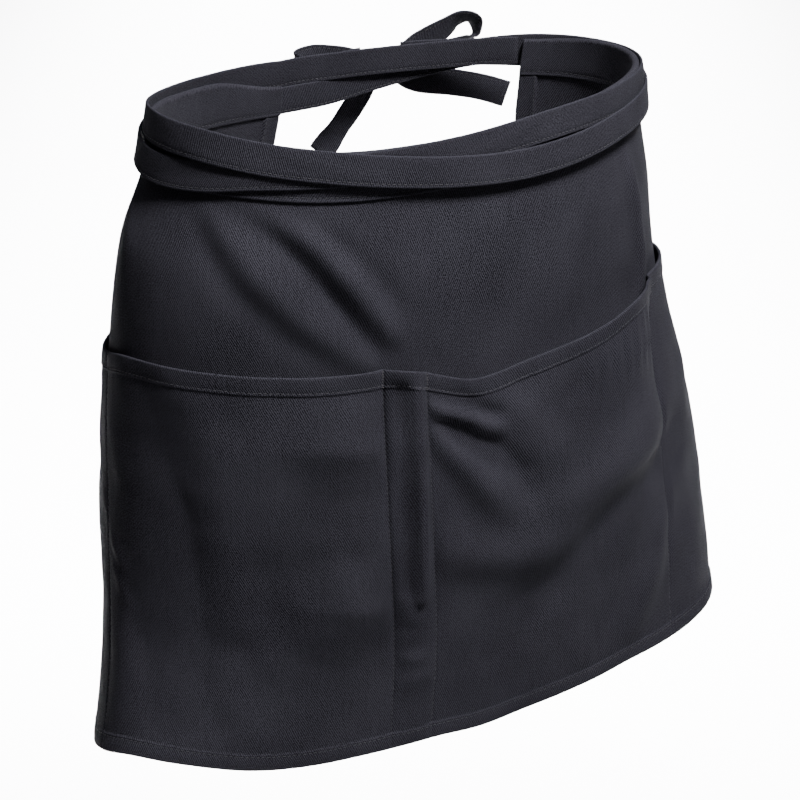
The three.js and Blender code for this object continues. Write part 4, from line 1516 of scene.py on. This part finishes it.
@dataclass
class WaistStrap(Strap):
    """A strap that runs round the waist along its table."""

    name: str = "strap"
    node: str = ""
    way: Sequence[StrapStop] = ()
    crumple: Crumple = Crumple(height=0.5, shortest=18.0, longest=70.0, count=8, seed=41)
    swell: float = 0.8
    swell_squeeze: float = 2.5
    swell_reach: float = 25.0
    thread_rise: float = 0.12

    def __post_init__(self) -> None:
        """Reads the table by a rising turn."""
        self.sign = math.copysign(1, self.way[1].angle - self.way[0].angle)
        stops = [StrapStop(stop.angle * self.sign, stop.drop, stop.layer) for stop in self.way]
        self.table = SmoothTable(stops)
        self.first, self.last = stops[0].angle, stops[-1].angle

    def layer_offset(self, layer: Array) -> Array:
        """The distance of a strap layer's middle from the bare form."""
        shop = self.shop
        over_band = shop.band_far + shop.strap_gap + shop.strap_thickness / 2
        stacked = over_band + (layer - 1) * (shop.strap_thickness + shop.strap_gap)
        return np.where(layer < 1, layer * over_band, stacked)

    def lie(self, turn: Array, shift: Array, rise: Array) -> tuple[Array, Array]:
        """Points of the strap and its outward directions.

        Args:
            turn: Turns along the strap, in degrees.
            shift: Places across it.
            rise: Distances out from its middle.

        Returns:
            Points in millimetres, and unit vectors.
        """
        form = self.shop.form
        read = self.table.at(turn)
        down = read[..., 0] * form.band_height + shift
        away = form.outward(form.ring_point, turn * self.sign, down, form.turn_probe)
        offset = self.layer_offset(read[..., 1]) + rise
        return form.ring_point(turn * self.sign, down) + away * offset[..., None], away

    def build(self) -> Object:
        """Builds the strap.

        Returns:
            The cloth.
        """
        shop, form = self.shop, self.shop.form
        mean = (form.waist_half_width + form.waist_half_depth) / 2
        step = math.degrees(shop.strap_step / mean)
        turns = np.linspace(self.first, self.last, max(2, round((self.last - self.first) / step)))
        turn, shift = np.meshgrid(turns, self.width_places, indexing="ij")
        run = run_along(self.lie(turns, np.zeros_like(turns), np.zeros_like(turns))[0])
        along = np.broadcast_to(run[:, None], turn.shape)
        length = run[-1]
        from_end = np.minimum(along, length - along)
        half = self.half_thickness(shift, along) * edge_round(from_end, shop.strap_thickness / 2)
        wave = self.crumple.at(along, shift * self.swell_squeeze) * smoothstep(from_end, 0, self.swell_reach)
        wave = wave * np.cos(np.pi * shift / shop.strap_width) * self.swell
        front = self.lie(turn, shift, half + np.maximum(wave, 0))[0]
        back = self.lie(turn, shift, -half)[0]
        piece = add_slab(self.name, front, back, np.stack([along, shift], axis=-1), self.wear(shift))
        return self.finish_strap(piece, self.seams(turns), self.node, length, "stretched", "waistband_cloth")

    def seams(self, turns: Array) -> list[StitchLine]:
        """The line of thread near the strap's lower edge, outside and inside.

        Args:
            turns: Turns along the strap.

        Returns:
            The lines.
        """
        shop = self.shop
        turns = turns[2:-2]
        shift = np.full_like(turns, shop.strap_width / 2 - self.stitch_inset)
        rise = np.full_like(turns, shop.strap_thickness / 2 - shop.pucker.depth / 2 + self.thread_rise)
        points, away = self.lie(turns, shift, rise)
        inner, _ = self.lie(turns, shift, -rise)
        return [StitchLine(points, away), StitchLine(inner, -away)]


@dataclass
class Bow(Strap):
    """The bow: a knot, two loops and two free ends, laid out from the knot's middle."""

    knot_angle: float = 69.5
    knot_drop: float = 0.5
    stand_off: float = 11.2
    knot_width: float = 17.0
    knot_height: float = 19.0
    knot_depth: float = 12.0
    knot_squareness: float = 0.75
    knot_sides: int = 72
    knot_rings: int = 48
    pole_share: float = 0.97
    knot_fold: float = 0.045
    knot_fold_pitch: float = 7.5
    knot_drift: float = 0.9
    knot_phase: float = 0.6
    knot_ripple: float = 0.03
    knot_ripple_pitch: float = 14.0
    knot_squeeze: float = 0.06
    fine_count: int = 400
    pinch: float = 0.3
    pinch_reach: float = 9.0
    crease: float = 0.75
    crease_pitch: float = 6.1
    crease_drift: float = 0.8
    crease_run: float = 5.0
    line_step: float = 1.5
    bend: float = 0.35
    bend_reach: float = 14.0
    bend_squeeze: float = 2.0
    bend_waves: tuple[float, float] = (18.0, 50.0)
    end_seam: float = 3.0

    def __post_init__(self) -> None:
        """Finds the knot's place and the bow's directions on the form."""
        form = self.shop.form
        angle, drop = np.array(self.knot_angle), np.array(self.knot_drop * form.band_height)
        out = form.outward(form.ring_point, angle, drop, form.turn_probe)
        self.out = unit(out * np.array([1.0, 1.0, 0.0]))
        self.along = np.array([self.out[1], -self.out[0], 0.0])
        self.up = np.array([0.0, 0.0, 1.0])
        self.middle = form.ring_point(angle, drop) + self.out * self.stand_off

    def point(self, along: Array, rise: Array, out: Array) -> Array:
        """Points by their distances from the knot's middle, in millimetres."""
        return (self.middle + np.asarray(along)[..., None] * self.along
                + np.asarray(rise)[..., None] * self.up + np.asarray(out)[..., None] * self.out)

    def centreline(self, way: Sequence[BowStop], count: int) -> tuple[Array, Array]:
        """A smooth line through a loose strap's stops.

        Args:
            way: The stops.
            count: How many points the line gets.

        Returns:
            The points, and their places along the table, counted in stops.
        """
        width = self.shop.strap_width
        side = math.copysign(self.knot_width / 2 + self.shop.seam_gap, way[-2].along)
        stops = np.array([astuple(stop)[:3] for stop in way]) * width
        stops = self.point(side + stops[:, 0], stops[:, 1], stops[:, 2])
        stops = np.concatenate([[2 * stops[0] - stops[1]], stops, [2 * stops[-1] - stops[-2]]])
        places = np.linspace(0, len(way) - 1, count)
        index = np.minimum(places.astype(int), len(way) - 2)
        share = (places - index)[:, None]
        p0, p1, p2, p3 = (stops[index + k] for k in range(4))
        gaps = [np.sqrt(np.linalg.norm(b - a, axis=1))[:, None] for a, b in ((p0, p1), (p1, p2), (p2, p3))]
        start = ((p1 - p0) / gaps[0] - (p2 - p0) / (gaps[0] + gaps[1]) + (p2 - p1) / gaps[1]) * gaps[1]
        end = ((p2 - p1) / gaps[1] - (p3 - p1) / (gaps[1] + gaps[2]) + (p3 - p2) / gaps[2]) * gaps[1]
        cubic, square = 2 * p1 - 2 * p2 + start + end, -3 * p1 + 3 * p2 - 2 * start - end
        return p1 + start * share + square * share**2 + cubic * share**3, places

    def directions(self, way: Sequence[BowStop], line: Array, places: Array) -> tuple[Array, Array]:
        """How a loose strap is turned along its line.

        Args:
            way: The stops, with their leans and tilts.
            line: The centreline's points.
            places: Their places along the table.

        Returns:
            The strap's facing directions and those of its width.
        """
        turns = SmoothTable([StrapTurn(k, stop.lean, stop.tilt) for k, stop in enumerate(way)])
        lean, tilt = np.moveaxis(np.radians(turns.at(places)), -1, 0)[..., None]
        upright = np.cos(lean) * self.up - np.sin(lean) * self.along
        upright = np.cos(tilt) * upright + np.sin(tilt) * self.out
        ahead = unit(np.gradient(line, axis=0))
        face = unit(np.cross(ahead, upright))
        return face, unit(np.cross(face, ahead))

    def strap(self, name: str, node: str, way: Sequence[BowStop], held: str, loop: bool) -> Object:
        """One loose stretch of strap.

        Args:
            name: The piece's name.
            node: The node that it replaces.
            way: Its stops.
            held: How the cloth is held.
            loop: True where both ends run into the knot.

        Returns:
            The cloth.
        """
        shop, shift = self.shop, self.width_places
        line, _ = self.centreline(way, self.fine_count)
        length = np.linalg.norm(np.diff(line, axis=0), axis=1).sum()
        line, places = self.centreline(way, max(8, round(length / self.line_step)))
        run = run_along(line)
        face, width = self.directions(way, line, places)
        from_knot = np.minimum(run, length - run) if loop else run
        gathered = np.exp(-((from_knot / self.pinch_reach) ** 2))
        narrow = 1 - self.pinch * gathered
        along, across = np.meshgrid(run, shift, indexing="ij")
        half = self.half_thickness(across, along)
        if not loop:
            half = half * edge_round(np.maximum(length - run, 0), shop.strap_thickness / 2)[:, None]
        drift = self.crease_drift * np.sin(along / self.crease_run)
        ridges = np.sin(across * math.tau / self.crease_pitch + drift)
        ridges = self.crease * gathered[:, None] * ridges
        crumple = Crumple(1.0, *self.bend_waves, count=5, seed=len(name))
        bend = self.bend * crumple.at(along, across * self.bend_squeeze)
        middle = line[:, None] + width[:, None] * (across * narrow[:, None])[..., None]
        lift = ridges + bend * smoothstep(np.minimum(along, length - along), 0, self.bend_reach)
        front = middle + face[:, None] * (lift + half)[..., None]
        back = middle + face[:, None] * (lift - half)[..., None]
        piece = add_slab(name, front, back, np.stack([along, across], axis=-1), self.wear(across))
        row = int(np.argmin(np.abs(shift - (shop.strap_width / 2 - self.stitch_inset))))
        keep = slice(2, -1)
        lines = [StitchLine(front[keep, row], face[keep]), StitchLine(back[keep, row], -face[keep])]
        if not loop:
            column = int(np.argmin(np.abs(run - (length - self.end_seam))))
            inner = slice(3, -3)
            facing = np.repeat(face[column][None], len(shift), axis=0)[inner]
            lines += [StitchLine(front[column, inner], facing), StitchLine(back[column, inner], -facing)]
        return self.finish_strap(piece, lines, node, length, held, "bow_knot_cloth")

    def knot(self) -> Object:
        """The strap wound round the middle of the bow, pulled tight in folds.

        Returns:
            The cloth.
        """
        turn = np.linspace(0, math.tau, self.knot_sides, endpoint=False)
        polar = np.linspace(0, math.pi, self.knot_rings + 1)[1:-1]
        turns, polars = np.meshgrid(turn, polar, indexing="ij")

        def squared(value: Array) -> Array:
            """Squares a round value off towards its box."""
            return np.sign(value) * np.abs(value) ** self.knot_squareness

        along = squared(np.cos(polars))
        rise = squared(np.sin(polars) * np.cos(turns))
        out = squared(np.sin(polars) * np.sin(turns))
        drift = self.knot_drift * np.sin(turns * 2 + self.knot_phase)
        wound = self.knot_fold * np.sin(along * self.knot_fold_pitch + drift)
        ripple = self.knot_ripple * np.sin(along * self.knot_ripple_pitch + turns * 3)
        wound = (wound + ripple - self.knot_squeeze) * np.sin(polars)
        half_width, half_height, half_depth = self.knot_width / 2, self.knot_height / 2, self.knot_depth / 2
        rise, out = rise * half_height * (1 + wound), out * half_depth * (1 + wound)
        body = self.point(along * half_width, rise, out)
        poles = self.point(np.array([half_width, -half_width]) * self.pole_share, np.zeros(2), np.zeros(2))
        index = np.arange(turns.size).reshape(turns.shape)
        after = np.roll(index, -1, axis=0)
        quads = np.stack([index[:, :-1], after[:, :-1], after[:, 1:], index[:, 1:]], axis=-1).reshape(-1, 4)
        first, last = np.full(self.knot_sides, turns.size), np.full(self.knot_sides, turns.size + 1)
        faces = np.concatenate([
            quads[:, [0, 1, 2, 0, 2, 3]].reshape(-1, 3),
            np.stack([first, after[:, 0], index[:, 0]], axis=1),
            np.stack([last, index[:, -1], after[:, -1]], axis=1),
        ])
        points = np.concatenate([body.reshape(-1, 3), poles])
        flat = np.stack([turns * half_height, along * half_width], axis=-1).reshape(-1, 2)
        flat = np.concatenate([flat, [[0.0, half_width], [0.0, -half_width]]])
        piece = add_mesh("bow_knot_cloth", points, faces, flat)
        self.shop.place(piece, self.shop.strap_twill, "strap")
        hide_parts("bow_knot")
        return piece


@dataclass(frozen=True)
class SoftLight:
    """A square soft light that faces the apron: its name, place and side in metres, and power in watts."""

    name: str
    place: tuple[float, float, float]
    size: float
    power: float


@dataclass
class Studio:
    """The pale floor, the soft lights and the camera."""

    floor_drop: float = 1.0
    floor_size: float = 14.0
    azimuth: float = -35.5
    elevation: float = 23.9
    distance: float = 1.2476
    lens: float = 95.9
    sensor_width: float = 36.0
    look_at: tuple[float, float, float] = (-0.0021, 0.0015, -0.1876)
    world_colour: tuple[float, float, float] = (0.97, 0.97, 1.0)
    world_strength: float = 0.11
    ceiling: SoftLight = SoftLight("ceiling", (0.2, 0.3, 2.4), 2.4, 36.0)
    key: SoftLight = SoftLight("key", (0.1, -0.66, 1.08), 0.34, 102.0)
    backdrop_place: tuple[float, float, float] = (1.68, 2.36, 0.8)
    backdrop_size: tuple[float, float] = (2.3, 4.9)
    backdrop_power: float = 560.0
    backdrop_spread: float = 56.0

    def build(self) -> None:
        """Builds the whole studio."""
        self.floor()
        self.world()
        self.light(self.ceiling)
        self.light(self.key)
        self.backdrop_light()
        self.camera()

    def floor(self) -> None:
        """Lays the floor well below the apron."""
        half = self.floor_size / 2
        corners = [(-half, -half), (half, -half), (half, half), (-half, half)]
        mesh = bpy.data.meshes.new("floor")
        mesh.from_pydata([(x, y, -self.floor_drop) for x, y in corners], [], [(0, 1, 2, 3)])
        floor = show("floor", mesh)
        floor.data.materials.append(FloorFinish().material())
        floor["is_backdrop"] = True

    def world(self) -> None:
        """Lights everything softly from all round."""
        world = bpy.data.worlds.new("studio_air")
        world.use_nodes = True
        background = world.node_tree.nodes["Background"]
        background.inputs["Color"].default_value = (*self.world_colour, 1)
        background.inputs["Strength"].default_value = self.world_strength
        bpy.context.scene.world = world

    def backdrop_light(self) -> None:
        """Hangs a long light over the floor that the camera sees, narrow enough to miss the apron."""
        data = bpy.data.lights.new("backdrop", "AREA")
        data.shape = "RECTANGLE"
        data.size, data.size_y = self.backdrop_size
        data.energy = self.backdrop_power
        data.spread = math.radians(self.backdrop_spread)
        lamp = show("backdrop", data)
        lamp.location = self.backdrop_place
        lamp.rotation_euler = (0, 0, math.radians(self.azimuth))

    def light(self, light: SoftLight) -> None:
        """Hangs a soft light that faces the apron."""
        data = bpy.data.lights.new(light.name, "AREA")
        data.size = light.size
        data.energy = light.power
        lamp = show(light.name, data)
        lamp.location = light.place
        aim = Vector(self.look_at) - Vector(light.place)
        lamp.rotation_euler = aim.to_track_quat("-Z", "Y").to_euler()

    def camera(self) -> None:
        """Sets the camera where the photograph was taken from."""
        turn, tilt = math.radians(self.azimuth), math.radians(self.elevation)
        back = Vector((math.sin(turn) * math.cos(tilt), -math.cos(turn) * math.cos(tilt), math.sin(tilt)))
        data = bpy.data.cameras.new("camera")
        data.lens = self.lens
        data.sensor_width = self.sensor_width
        camera = show("camera", data)
        camera.location = Vector(self.look_at) + back * self.distance
        camera.rotation_euler = (-back).to_track_quat("-Z", "Y").to_euler()
        bpy.context.scene.camera = camera


def corners() -> list[list[float]]:
    """The shown object's lowest and highest corners as plain lists."""
    return [list(corner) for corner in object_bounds()]


def main() -> None:
    """Builds the apron and the studio."""
    logging.basicConfig(level=logging.INFO, format="%(name)s: %(message)s")
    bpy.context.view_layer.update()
    Studio().build()
    shop = Workshop()
    SkirtPanel(shop).build()
    PocketPanel(shop).build()
    Waistband(shop).build()
    WaistStrap(shop, name="right_strap", node="right_tie", way=RIGHT_STRAP).build()
    WaistStrap(shop, name="left_strap", node="left_tie", way=LEFT_STRAP).build()
    bow = Bow(shop)
    bow.knot()
    bow.strap("loop_left_cloth", "bow_loop_left", LOOP_LEFT, "folded", True)
    bow.strap("loop_right_cloth", "bow_loop_right", LOOP_RIGHT, "folded", True)
    bow.strap("tail_left_cloth", "bow_tail_left", TAIL_LEFT, "hung", False)
    bow.strap("tail_right_cloth", "bow_tail_right", TAIL_RIGHT, "hung", False)


if __name__ == "__main__":
    main()
